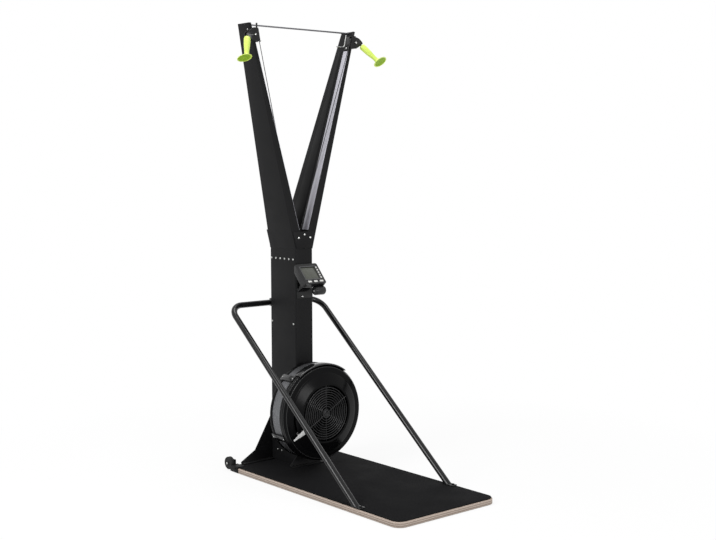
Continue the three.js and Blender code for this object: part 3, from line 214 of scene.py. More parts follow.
@dataclass(frozen=True)
class Finish:
    """What finishes share: a name, sRGB colour and roughness, with a grain of a real size."""

    name: str
    colour: str
    roughness: float
    grain_mm: float = 1.6
    depth_mm: float = 0.03
    metallic: float = 0.0
    coat: float = 0.0
    specular: float = 0.5
    variation: float = 0.06

    def material(self) -> bpy.types.Material:
        """The finish as a material, made once."""
        made = bpy.data.materials.get(self.name)
        if made is None:
            made = bpy.data.materials.new(self.name)
            tree = empty_tree(made)
            shader = add_node(tree, "ShaderNodeBsdfPrincipled", {
                "Metallic": self.metallic, "Specular IOR Level": self.specular,
                "Coat Weight": self.coat, "Coat Roughness": COAT_ROUGHNESS,
            })
            add_node(tree, "ShaderNodeOutputMaterial", {"Surface": shader})
            connect(tree, shader, self.surface(tree))
        return made

    def place(self, tree: Tree, size_mm: float | Point) -> Node:
        """Object coordinates, divided by a size in millimetres, for all axes or for each.

        Args:
            tree: The material's node tree.
            size_mm: The size that becomes 1.

        Returns:
            The node that gives the place.
        """
        sizes = size_mm if isinstance(size_mm, tuple) else (size_mm,) * 3
        inputs = {
            "Vector": add_node(tree, "ShaderNodeTexCoord").outputs["Object"],
            "Scale": [1 / (size * MM) for size in sizes],
        }
        return add_node(tree, "ShaderNodeMapping", inputs)

    def cloud(
        self, tree: Tree, size_mm: float | Point, detail: float = 2, distortion: float = 0
    ) -> Node:
        """Soft noise whose lumps have a size in millimetres.

        Args:
            tree: The material's node tree.
            size_mm: The lumps' size, for all axes or for each.
            detail: How many finer layers it has.
            distortion: How far it is twisted.

        Returns:
            The noise.
        """
        place = self.place(tree, size_mm)
        inputs = {"Vector": place, "Scale": 1.0, "Detail": detail, "Distortion": distortion}
        return add_node(tree, "ShaderNodeTexNoise", inputs)

    def spread(self, tree: Tree, source: Source, low: float, high: float) -> Node:
        """Turns the middle of a noise into a range of values.

        Args:
            tree: The material's node tree.
            source: The noise.
            low: The value where the noise is low.
            high: The value where it is high.

        Returns:
            The node that gives the value.
        """
        start, end = NOISE_MIDDLE
        inputs = {
            "Value": source, "From Min": start, "From Max": end, "To Min": low, "To Max": high,
        }
        return add_node(tree, "ShaderNodeMapRange", inputs)

    def tinted(
        self, tree: Tree, source: Source, amount: float, colour: Source | None = None
    ) -> Node:
        """Lightens and darkens a colour, or else its own, by a noise and a share of its value.

        Args:
            tree: The material's node tree.
            source: The noise.
            amount: The share of its value that the colour gains or loses.
            colour: What gives the colour, or None for the finish's own.

        Returns:
            The node that gives the colour.
        """
        value = self.spread(tree, source, 1 - amount, 1 + amount)
        own = to_linear(self.colour) if colour is None else colour
        return add_node(tree, "ShaderNodeHueSaturation", {"Color": own, "Value": value})

    def bump(self, tree: Tree, height: Source) -> Node:
        """A height as a normal, over the finish's own depth."""
        inputs = {"Height": height, "Strength": 1.0, "Distance": self.depth_mm * MM}
        return add_node(tree, "ShaderNodeBump", inputs)

    def roughness_by(self, tree: Tree, source: Source, low: float, high: float) -> Node:
        """Its own roughness times a range that follows a noise, up to 1."""
        return self.spread(tree, source, self.roughness * low, min(self.roughness * high, 1))

    def surface(self, tree: Tree) -> Inputs:
        """Colour and roughness drift slowly over the piece, and the grain is a fine bump.

        Args:
            tree: The material's node tree.

        Returns:
            What feeds the shader's inputs, by their names.
        """
        drift = self.cloud(tree, 90)
        return {
            "Base Color": self.tinted(tree, drift, self.variation),
            "Roughness": self.roughness_by(tree, drift, 0.88, 1.12),
            "Normal": self.bump(tree, self.cloud(tree, self.grain_mm, 3)),
        }


@dataclass(frozen=True)
class SealedPlywood(Finish):
    """Birch plywood under clear sealer: long grain on its faces, thin plies on its edges."""

    ply_mm: float = 2.2
    board_mm: float = 26

    def surface(self, tree: Tree) -> Inputs:
        """Bands on the upright edges, with painted shade towards the bottom and painted light
        towards the top, and grain on the level faces.

        Args:
            tree: The material's node tree.

        Returns:
            What feeds the shader's inputs, by their names.
        """
        grain = self.cloud(tree, (14, 260, 14), 6, 0.6)
        stops = {0.3: "#a08f82", 0.5: self.colour, 0.7: "#beb0a4"}
        veneer = add_node(tree, "ShaderNodeValToRGB", {"Fac": grain}, stops)
        place = self.place(tree, (4000, 4000, self.ply_mm))
        height = add_node(tree, "ShaderNodeSeparateXYZ", {"Vector": place}).outputs["Z"]
        band = add_node(tree, "ShaderNodeMath", {0: height, 1: 2.0}, operation="PINGPONG")
        share = add_node(tree, "ShaderNodeMath", {0: band, 1: 2.0}, operation="DIVIDE")
        stops = {0.3: "#84756a", 0.5: "#9b8c81", 0.75: "#aea196"}
        plies = add_node(tree, "ShaderNodeValToRGB", {"Fac": share}, stops)
        fleck = self.cloud(tree, (9, 9, 1.1), 4)
        # Painted shade and light: the edges are drawn darker at the board's foot and lighter at its
        # top
        upright = add_node(tree, "ShaderNodeTexCoord").outputs["Object"]
        lift = add_node(tree, "ShaderNodeSeparateXYZ", {"Vector": upright}).outputs["Z"]
        limits = {"Value": lift, "From Max": self.board_mm * MM, "To Min": 0.8, "To Max": 1.16}
        painted_edge_shade = add_node(tree, "ShaderNodeMapRange", limits)
        flecked = self.tinted(tree, fleck, 0.14, plies)
        edge = add_node(tree, "ShaderNodeHueSaturation", {"Color": flecked, "Value": painted_edge_shade})
        normal = add_node(tree, "ShaderNodeNewGeometry").outputs["Normal"]
        upward = add_node(tree, "ShaderNodeSeparateXYZ", {"Vector": normal}).outputs["Z"]
        level = add_node(tree, "ShaderNodeMath", {0: upward}, operation="ABSOLUTE")
        is_face = add_node(tree, "ShaderNodeMath", {0: level, 1: 0.8}, operation="GREATER_THAN")
        colours = {"Factor": is_face, 6: edge, 7: veneer}
        return {
            "Base Color": add_node(tree, "ShaderNodeMix", colours, data_type="RGBA").outputs[2],
            "Roughness": self.roughness_by(tree, fleck, 0.84, 1.2),
            "Normal": self.bump(tree, grain),
        }


@dataclass(frozen=True)
class RubberSheet(Finish):
    """Rolled rubber matting: matt, with close pebbles, drawn a little coarser than real."""

    pebble_mm: float = 4.5

    def surface(self, tree: Tree) -> Inputs:
        """Pebbles stand proud of darker joints between them, with dust in a slow drift.

        Args:
            tree: The material's node tree.

        Returns:
            What feeds the shader's inputs, by their names.
        """
        inputs = {"Vector": self.place(tree, self.pebble_mm), "Scale": 1.0}
        pebble = add_node(tree, "ShaderNodeTexVoronoi", inputs, feature="SMOOTH_F1")
        height = add_node(tree, "ShaderNodeMath", {0: 1.0, 1: pebble}, operation="SUBTRACT")
        drift = self.cloud(tree, 150, 4)
        return {
            "Base Color": self.tinted(tree, height, 0.1, self.tinted(tree, drift, 0.12)),
            "Roughness": self.roughness_by(tree, drift, 0.925, 1.125),
            "Normal": self.bump(tree, height),
        }


@dataclass(frozen=True)
class DrawnMetal(Finish):
    """Metal with fine lines along one direction, as rolling, drawing or brushing leaves it."""

    line_mm: Point = (0.9, 0.9, 60)

    def surface(self, tree: Tree) -> Inputs:
        """Long thin streaks change the roughness and the colour a little.

        Args:
            tree: The material's node tree.

        Returns:
            What feeds the shader's inputs, by their names.
        """
        streak = self.cloud(tree, self.line_mm, 5)
        return {
            "Base Color": self.tinted(tree, streak, 0.1),
            "Roughness": self.roughness_by(tree, streak, 0.75, 1.3),
            "Normal": self.bump(tree, streak),
        }


@dataclass(frozen=True)
class PerforatedSheet(Finish):
    """Thin steel with small staggered holes, read from the piece's own map in millimetres."""

    pitch_mm: float = 5.0
    hole_share: float = 0.27
    rim_share: float = 0.08

    def surface(self, tree: Tree) -> Inputs:
        """Holes are dark, rough and sunk; the metal between them is satin.

        Args:
            tree: The material's node tree.

        Returns:
            What feeds the shader's inputs, by their names.
        """
        uv = add_node(tree, "ShaderNodeUVMap", uv_map="along")
        scale = (1 / self.pitch_mm,) * 3
        place = {"Vector": uv, "Scale": scale, "Rotation": (0, 0, math.pi / 4)}
        holes = {
            "Vector": add_node(tree, "ShaderNodeMapping", place), "Scale": 1.0, "Randomness": 0.0,
        }
        cell = add_node(tree, "ShaderNodeTexVoronoi", holes)
        edge = self.hole_share + self.rim_share
        limits = {"Value": cell, "From Min": self.hole_share, "From Max": edge}
        sheet = add_node(tree, "ShaderNodeMapRange", limits)
        stops = {0.0: "#0c0c0d", 1.0: self.colour}
        rough = {"Value": sheet, "To Min": 0.8, "To Max": self.roughness}
        metal = {0: sheet, 1: self.metallic}
        return {
            "Base Color": add_node(tree, "ShaderNodeValToRGB", {"Fac": sheet}, stops),
            "Metallic": add_node(tree, "ShaderNodeMath", metal, operation="MULTIPLY"),
            "Roughness": add_node(tree, "ShaderNodeMapRange", rough),
            "Normal": self.bump(tree, sheet),
        }


@dataclass(frozen=True)
class BraidedCover(Finish):
    """Polyester braid over a core: crossed strands, drawn a little coarser than real."""

    strand_mm: float = 2.4

    def surface(self, tree: Tree) -> Inputs:
        """Two crossed waves make the braid's small lozenges.

        Args:
            tree: The material's node tree.

        Returns:
            What feeds the shader's inputs, by their names.
        """
        place = self.place(tree, self.strand_mm)
        waves = []
        for turn in (0.0, math.pi / 2):
            inputs = {"Vector": place, "Rotation": (turn, 0, turn)}
            crossed = {"Vector": add_node(tree, "ShaderNodeMapping", inputs), "Scale": 0.5}
            wave = add_node(tree, "ShaderNodeTexWave", crossed, bands_direction="DIAGONAL")
            waves.append(wave.outputs["Fac"])
        braid = add_node(tree, "ShaderNodeMath", {0: waves[0], 1: waves[1]}, operation="MAXIMUM")
        return {
            "Base Color": self.tinted(tree, braid, 0.3), "Roughness": self.roughness,
            "Sheen Weight": 0.2, "Normal": self.bump(tree, braid),
        }


@dataclass(frozen=True)
class DisplayGlass(Finish):
    """A switched off liquid crystal display behind clear plastic, with faint rows of cells."""

    row_mm: float = 6.0

    def surface(self, tree: Tree) -> Inputs:
        """Faint rows over an even grey, under a gloss coat.

        Args:
            tree: The material's node tree.

        Returns:
            What feeds the shader's inputs, by their names.
        """
        cell = self.cloud(tree, (self.row_mm, self.row_mm * 4, self.row_mm), 1)
        return {"Base Color": self.tinted(tree, cell, 0.12), "Roughness": self.roughness}


# Powder coated sheet steel: black, with a fine orange peel and a soft sheen
POWDER_COAT = Finish(
    "powder_coated_steel", "#131314", 0.5, grain_mm=2.2, depth_mm=0.05, specular=0.11
)
# The same coat on bent tube, smoother, so it takes a long highlight
TUBE_COAT = Finish(
    "powder_coated_tube", "#0f0f10", 0.3, grain_mm=2.6, depth_mm=0.01, specular=0.1, coat=0.35
)
# Injection moulded black ABS from a polished mould, on the fan's housing: dark, softly shiny
HOUSING_ABS = Finish("housing_abs", "#0a0a0b", 0.22, grain_mm=6, depth_mm=0.01, specular=0.07)
# The grille of that housing, rounder and glossier, so that its rings take thin glints, and drawn a
# lighter grey than the housing as a painted highlight on the same black plastic
LIT_GRILLE_ABS = Finish("grille_abs", "#232324", 0.18, grain_mm=6, depth_mm=0.01, specular=0.3)
# Polished black ABS on the guard and straps over the fan: broad clear highlights
POLISHED_ABS = Finish("polished_abs", "#0a0a0b", 0.14, grain_mm=14, coat=0.3, specular=0.35)
# Glass filled nylon for pulleys and drums: plain black, a little dry
FILLED_NYLON = Finish("glass_filled_nylon", "#131314", 0.5, grain_mm=1.8, specular=0.3)
# Clear sealed birch plywood, greyed pale and a little pink
PLYWOOD = SealedPlywood("sealed_birch_plywood", "#b1a194", 0.5, depth_mm=0.06, specular=0.35)
# Rubber sheet glued on the board: no shine, close pebble
RUBBER_SHEET = RubberSheet("pebbled_rubber_sheet", "#131314", 0.8, depth_mm=0.25, specular=0.04)
# Satin stainless strip on the arms: faint lines along its length, no mirror
BRUSHED_STEEL = DrawnMetal(
    "satin_stainless_strip", "#bab9c1", 0.45, depth_mm=0.008, metallic=0.6, line_mm=(1.6, 1.6, 70)
)
# Zinc plated fasteners and axles: cool grey with a soft shine
ZINC_PLATE = Finish(
    "zinc_plated_steel", "#c3c4c2", 0.33, grain_mm=3, depth_mm=0.01, metallic=1.0, variation=0.1
)
# Black zinc on the rod between the arm tops: dark grey with a light line along it
BLACK_ZINC = Finish("black_zinc_rod", "#6a6a6d", 0.35, grain_mm=3, depth_mm=0.01, metallic=1.0)
# Perforated steel round the fan: grey, and dark where its small holes are
PERFORATED = PerforatedSheet("perforated_steel_band", "#77787b", 0.34, depth_mm=0.4, metallic=0.9)
# Black coated alloy of the fan wheel, seen through the grille: dark and even
WHEEL_COAT = DrawnMetal(
    "black_coated_alloy", "#0b0b0c", 0.5, depth_mm=0.01, specular=0.05, line_mm=(3, 3, 3)
)
# Braided polyester of the drive and return cords: dark and dull
BRAID = BraidedCover("braided_cord_cover", "#1c1c1d", 0.8, depth_mm=0.3)
# Thermoplastic rubber grips: soft, yellow green, with a faint sheen
GRIP_RUBBER = Finish("soft_green_grip", "#cce264", 0.38, grain_mm=5, depth_mm=0.02, variation=0.02)
# The same rubber in the hollow under the flare, drawn a deeper green as painted shade in the hollow
SHADED_CUP_RUBBER = Finish(
    "deep_green_cup", "#86aa22", 0.5, grain_mm=5, depth_mm=0.02, specular=0.3, variation=0.03
)
# Pale grey moulded keys, satin
KEY_PLASTIC = Finish("pale_moulded_keys", "#c9c9c5", 0.42, grain_mm=1.2, depth_mm=0.02)
# Grey lever of the damper, moulded nylon, satin
LEVER_NYLON = Finish("pale_grey_nylon", "#c9c9c8", 0.4, grain_mm=1.5, depth_mm=0.02)
# The monitor's switched off display, grey green under a gloss coat
DISPLAY = DisplayGlass("lcd_display", "#4b4d46", 0.2, coat=0.2, specular=0.3)
# The moulded frame round the display: dark grey and satin
FACE_PLASTIC = Finish("monitor_face", "#434345", 0.35, grain_mm=1.2, depth_mm=0.02)
# The monitor's case and battery holder: moulded ABS, black and satin
CASE_ABS = Finish("monitor_case_abs", "#1f1f20", 0.36, grain_mm=1.4, depth_mm=0.02, specular=0.3)
# Solid polyurethane tyres: black and matt
TYRE = Finish("solid_tyre", "#151516", 0.62, grain_mm=2.0, depth_mm=0.06, specular=0.3)


def turn_to(direction: Sequence[float]) -> Matrix:
    """The rotation that takes +Z to a direction."""
    return Vector(direction).to_track_quat("Z", "Y").to_matrix().to_4x4()


class Form:
    """A mesh in the making, in millimetres. Each method adds to it or shapes it, and returns it."""

    def __init__(self) -> None:
        """Starts with no faces."""
        self.bm = bmesh.new()

    def outwards(self) -> "Form":
        """Turns the faces outwards."""
        bmesh.ops.recalc_face_normals(self.bm, faces=self.bm.faces)
        return self

    def welded(self, reach: float = WELD) -> "Form":
        """Merges the corners that lie together."""
        bmesh.ops.remove_doubles(self.bm, verts=self.bm.verts, dist=reach)
        return self

    def open_edges(self) -> list[bmesh.types.BMEdge]:
        """The edges that have a face on one side only."""
        return [e for e in self.bm.edges if e.is_boundary]

    def closed(self) -> "Form":
        """Fills the holes."""
        bmesh.ops.holes_fill(self.bm, edges=self.open_edges(), sides=0)
        return self

    def bevel(self, edges: Iterable[bmesh.types.BMEdge], width: float, segments: int) -> "Form":
        """Rounds the given edges.

        Args:
            edges: The edges.
            width: How far the rounding reaches.
            segments: How many faces round it.

        Returns:
            The form.
        """
        bmesh.ops.bevel(
            self.bm, geom=list(edges), offset=width, segments=segments, profile=0.5,
            affect="EDGES", offset_type="OFFSET", clamp_overlap=True, material=-1,
        )
        return self

    def break_edges(self, width: float, segments: int = 2, least_deg: float = 30) -> "Form":
        """Rounds every edge whose faces meet at more than an angle.

        Args:
            width: How far the rounding reaches.
            segments: How many faces round it.
            least_deg: The smallest angle between faces that is rounded.

        Returns:
            The form.
        """
        least = math.radians(least_deg)
        edges = self.bm.edges
        sharp = [e for e in edges if len(e.link_faces) == 2 and e.calc_face_angle(0) > least]
        return self.bevel(sharp, width, segments)

    def round_along(
        self, axis: Axis, radius: float, segments: int,
        keep: Callable[[Vector], bool] = lambda middle: True,
    ) -> "Form":
        """Rounds the edges that run along an axis and whose middle passes a test.

        Args:
            axis: The axis.
            radius: How far the rounding reaches.
            segments: How many faces round it.
            keep: The test of an edge's middle.

        Returns:
            The form.
        """
        chosen = []
        for e in self.bm.edges:
            a, b = (v.co for v in e.verts)
            if abs((b - a).normalized().dot(axis.vector)) > ALONG and keep((a + b) / 2):
                chosen.append(e)
        return self.bevel(chosen, radius, segments)

    def box(self, low: Point, high: Point) -> "Form":
        """Adds a box between two corners.

        Args:
            low: The lowest corner.
            high: The highest corner.

        Returns:
            The form.
        """
        one, other = Vector(low), Vector(high)
        verts = bmesh.ops.create_cube(self.bm, size=1.0)["verts"]
        bmesh.ops.scale(self.bm, vec=other - one, verts=verts)
        bmesh.ops.translate(self.bm, vec=(one + other) / 2, verts=verts)
        return self

    def turned(self, profile: Sequence[Pair], steps: int, arc_deg: float = 360) -> "Form":
        """Adds a profile of (radius, height) turned about +Z; a part turn starts at +X.

        Args:
            profile: The profile, with its first point again at its end where it is closed.
            steps: How many faces go round.
            arc_deg: How far it is turned.

        Returns:
            The form.
        """
        verts = [self.bm.verts.new((radius, 0, height)) for radius, height in profile]
        edges = [self.bm.edges.new(pair) for pair in zip(verts, verts[1:])]
        full = arc_deg >= 360
        bmesh.ops.spin(
            self.bm, geom=[*verts, *edges], cent=(0, 0, 0), axis=Axis.Z.value,
            angle=math.radians(arc_deg), steps=steps, use_merge=full,
        )
        self.welded()
        return (self if full else self.closed()).outwards()

    def drum(self, radius: float, low: float, high: float, sides: int) -> "Form":
        """Adds a bar with some number of sides along Z.

        Args:
            radius: Its radius to the corners.
            low: Its lower end.
            high: Its upper end.
            sides: How many sides it has.

        Returns:
            The form.
        """
        verts = bmesh.ops.create_cone(
            self.bm, cap_ends=True, segments=sides, radius1=radius, radius2=radius,
            depth=high - low,
        )["verts"]
        bmesh.ops.translate(self.bm, vec=(0, 0, (low + high) / 2), verts=verts)
        return self

    def apply(self, matrix: Matrix) -> "Form":
        """Moves, turns or scales the form, and keeps its faces outwards."""
        bmesh.ops.transform(self.bm, matrix=matrix, verts=self.bm.verts)
        if matrix.determinant() < 0:
            bmesh.ops.reverse_faces(self.bm, faces=self.bm.faces)
        return self

    def move(self, x: float, y: float, z: float) -> "Form":
        """Moves the form."""
        return self.apply(Matrix.Translation((x, y, z)))

    def aim(self, direction: Sequence[float], place: Sequence[float]) -> "Form":
        """Turns +Z to a direction and moves the origin to a place."""
        return self.apply(Matrix.Translation(Vector(place)) @ turn_to(direction))

    def spun(self, angle_deg: float, axis: Axis = Axis.Z) -> "Form":
        """Turns the form about an axis."""
        return self.apply(Matrix.Rotation(math.radians(angle_deg), 4, axis.name))

    def on_side(self, side: Side) -> "Form":
        """Keeps a form made for the right, or mirrors it to the left."""
        return self if side is Side.RIGHT else self.apply(Matrix.Scale(-1, 4, Axis.X.vector))

    def add(self, *others: "Form") -> "Form":
        """Takes in other forms.

        Args:
            others: The forms, which are used up.

        Returns:
            The form.
        """
        for other in others:
            mesh = bpy.data.meshes.new("part")
            other.bm.to_mesh(mesh)
            other.bm.free()
            self.bm.from_mesh(mesh)
            bpy.data.meshes.remove(mesh)
        return self

    def hollow(self, wall: float) -> "Form":
        """Gives an open skin a wall on its inner side."""
        self.outwards()
        bmesh.ops.solidify(self.bm, geom=list(self.bm.faces), thickness=wall)
        return self

    def open_at(self, axis: Axis, value: float) -> "Form":
        """Takes away the faces that lie at one place along an axis.

        Args:
            axis: The axis.
            value: The place.

        Returns:
            The form.
        """
        direction = axis.vector
        flat = [
            f for f in self.bm.faces
            if all(abs(v.co.dot(direction) - value) < IN_PLANE for v in f.verts)
        ]
        bmesh.ops.delete(self.bm, geom=flat, context="FACES")
        return self

    def tube(self, points: Sequence[Sequence[float]], radius: float, sides: int) -> "Form":
        """Adds a round tube along points, closed at both ends.

        Args:
            points: The points of its middle line.
            radius: Its radius.
            sides: How many sides it has.

        Returns:
            The form.
        """
        curve = bpy.data.curves.new("route", "CURVE")
        curve.dimensions = "3D"
        spline = curve.splines.new("POLY")
        spline.points.add(len(points) - 1)
        for target, point in zip(spline.points, points):
            target.co = (*point, 1)
        curve.bevel_depth = radius
        curve.bevel_resolution = sides // 4 - 1
        curve.use_fill_caps = True
        holder = bpy.data.objects.new("route", curve)
        mesh = bpy.data.meshes.new_from_object(holder)
        self.bm.from_mesh(mesh)
        bpy.data.objects.remove(holder)
        bpy.data.curves.remove(curve)
        bpy.data.meshes.remove(mesh)
        return self.welded().outwards()

    def lofted(self, rings: Sequence[tuple[Matrix, float]], sides: int = 32) -> "Form":
        """Adds a skin over circles, closed at both ends.

        Args:
            rings: The turn and place of each circle's plane, and its radius.
            sides: How many points each circle has.

        Returns:
            The form.
        """
        loops = []
        for matrix, radius in rings:
            circle = bmesh.ops.create_circle(self.bm, segments=sides, radius=radius, matrix=matrix)
            edges = (edge for vert in circle["verts"] for edge in vert.link_edges)
            loops.append(list(dict.fromkeys(edges)))
        for one, other in zip(loops, loops[1:]):
            bmesh.ops.bridge_loops(self.bm, edges=[*one, *other])
        for end in (loops[0], loops[-1]):
            bmesh.ops.edgeloop_fill(self.bm, edges=end)
        return self.outwards()

    def cut_away(self, place: Sequence[float], direction: Sequence[float]) -> "Form":
        """Keeps what lies beyond a plane, where a direction points, and closes the cut.

        Args:
            place: A point of the plane.
            direction: The direction, square to the plane.

        Returns:
            The form.
        """
        bmesh.ops.bisect_plane(
            self.bm, geom=[*self.bm.verts, *self.bm.edges, *self.bm.faces], plane_co=place,
            plane_no=direction, clear_inner=True,
        )
        return self.closed()

    def copy_node(self, node: str) -> "Form":
        """Adds a CAD node's shape, merged to clean flat faces.

        Args:
            node: The node's name.

        Returns:
            The form.
        """
        self.bm.from_mesh(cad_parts[node].data)
        bmesh.ops.scale(self.bm, vec=(1 / MM,) * 3, verts=self.bm.verts)
        self.welded(WELD_CAD)
        bmesh.ops.dissolve_limit(
            self.bm, angle_limit=math.radians(FLAT_DEG), verts=self.bm.verts, edges=self.bm.edges
        )
        return self

    def map_round(self, centre: Vector) -> "Form":
        """Gives every corner a map in millimetres: round the Y axis, and along it.

        Args:
            centre: A point of the axis.

        Returns:
            The form.
        """
        layer = self.bm.loops.layers.uv.new("along")
        for face in self.bm.faces:
            offsets = [loop.vert.co - centre for loop in face.loops]
            angles = [math.atan2(offset.z, offset.x) for offset in offsets]
            wrap = max(angles) - min(angles) > math.pi
            for loop, offset, angle in zip(face.loops, offsets, angles):
                turned = angle + math.tau if wrap and angle < 0 else angle
                loop[layer].uv = (turned * offset.xz.length, loop.vert.co.y)
        return self

    def piece(
        self, name: str, finish: Finish, slot: str, stands_for: str = "",
        body: str | None = "frame", sharp_deg: float = SHARP_DEG,
    ) -> bpy.types.Object:
        """Makes the form an object in metres that rides on a body.

        Args:
            name: The object's name.
            finish: Its finish.
            slot: The record's material slot.
            stands_for: The CAD node that it replaces, if any.
            body: The CAD body that it rides on, or None where it is to be blended.
            sharp_deg: Edges flatter than this shade smoothly.

        Returns:
            The new object.
        """
        bmesh.ops.scale(self.bm, vec=(MM,) * 3, verts=self.bm.verts)
        mesh = bpy.data.meshes.new(name)
        self.bm.to_mesh(mesh)
        self.bm.free()
        mesh.shade_smooth()
        mesh.set_sharp_from_angle(angle=math.radians(sharp_deg))
        mesh.materials.append(finish.material())
        made = add_object(name, mesh)
        if stands_for:
            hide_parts(stands_for)
        if body:
            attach(made, body)
            log.info("%s: %d faces, rides on %s", name, len(mesh.polygons), body)
        return made

    def fasteners(self, name: str, finish: Finish = ZINC_PLATE, body: str = "frame") -> None:
        """Makes a form of bolt or screw heads an object."""
        self.piece(name, finish, "zinc_steel", body=body, sharp_deg=SHARP_SCREW_DEG)


def rounded(piece: bpy.types.Object, levels: int = 2) -> None:
    """Smooths a piece by subdividing its surface."""
    subdivision = piece.modifiers.new("rounding", "SUBSURF")
    subdivision.levels = subdivision.render_levels = levels


def dress_nodes(finish: Finish, *nodes: str) -> None:
    """Gives CAD nodes that keep their own shape a finish.

    Args:
        finish: The finish.
        nodes: The nodes' names.
    """
    for node in nodes:
        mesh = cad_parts[node].data
        mesh.materials.clear()
        mesh.materials.append(finish.material())


def softened(
    node: str, name: str, finish: Finish, edge: float = 0.6, slot: str = "black_steel",
    body: str = "frame", segments: int = 2, least_deg: float = 40, sharp_deg: float = SHARP_DEG,
) -> None:
    """Stands a copy with broken edges in for a CAD node.

    Args:
        node: The node.
        name: The copy's name.
        finish: Its finish.
        edge: How far its edges are rounded.
        slot: The record's material slot.
        body: The CAD body that it rides on.
        segments: How many faces round an edge.
        least_deg: The smallest angle between faces that is rounded.
        sharp_deg: Edges flatter than this shade smoothly.
    """
    copy = Form().copy_node(node).break_edges(edge, segments, least_deg)
    copy.piece(name, finish, slot, node, body, sharp_deg)


def button_screw(radius: float, height: float) -> Form:
    """A domed screw head with a hexagon socket, standing on z = 0.

    Args:
        radius: The head's radius in millimetres.
        height: Its height in millimetres.

    Returns:
        The form, along +Z.
    """
    profile = [
        (1, 0), (1, 0.35), (0.86, 0.75), (0.5, 1), (0.45, 1), (0.42, 0.4), (0, 0.4),
    ]
    return Form().turned([(radius * wide, height * far) for wide, far in profile], 24)


def screw_row(radius: float, height: float, out: Point, places: Iterable[Point]) -> Form:
    """Screw heads at several places, all pointing one way.

    Args:
        radius: Each head's radius in millimetres.
        height: Its height in millimetres.
        out: Where the heads point.
        places: Where they stand.

    Returns:
        The form.
    """
    return Form().add(*(button_screw(radius, height).aim(out, place) for place in places))


def hex_bolt(radius: float, height: float, washer: float) -> Form:
    """A hexagon head on a washer, standing on z = 0.

    Args:
        radius: The head's radius in millimetres.
        height: Its height in millimetres.
        washer: The washer's radius in millimetres.

    Returns:
        The form, along +Z.
    """
    head = Form().drum(radius, 1.2, height, 6).break_edges(0.5, 2, 50)
    return Form().drum(washer, 0, 1.4, 28).break_edges(0.4, 2, 50).add(head)


@dataclass
class Platform:
    """The plywood board with its rubber sheet."""

    width: float = 606
    length: float = 1266
    thickness: float = 26
    front_radius: float = 50
    rear_radius: float = 4
    edge: float = 4.5
    mat: float = 4
    mat_inset: float = 5
    mat_edge: float = 1.2

    def slab(self, inset: float, low: float, high: float, edge: float) -> Form:
        """A slab with round front corners, inset from the board's outline.

        Args:
            inset: How far it stays inside the outline.
            low: Its lower face.
            high: Its upper face.
            edge: How far its edges are rounded.

        Returns:
            The form.
        """
        x, y = self.width / 2 - inset, self.length / 2 - inset
        slab = Form().box((-x, -y, low), (x, y, high))
        slab.round_along(Axis.Z, self.front_radius - inset, 16, lambda p: p.y < 0)
        slab.round_along(
            Axis.Z, self.rear_radius, 4, lambda p: p.y > self.length / 4 and abs(p.x) > x - 1
        )
        return slab.break_edges(edge, 4, 60)

    def build(self) -> None:
        """Makes the board and the sheet."""
        board = self.slab(0, 0, self.thickness, self.edge)
        board.piece("plywood_board", PLYWOOD, "plywood", "deck_board", sharp_deg=30)
        low = self.thickness + GAP
        sheet = self.slab(self.mat_inset, low, low + self.mat, self.mat_edge)
        sheet.piece("rubber_mat", RUBBER_SHEET, "mat", "deck_mat", sharp_deg=30)


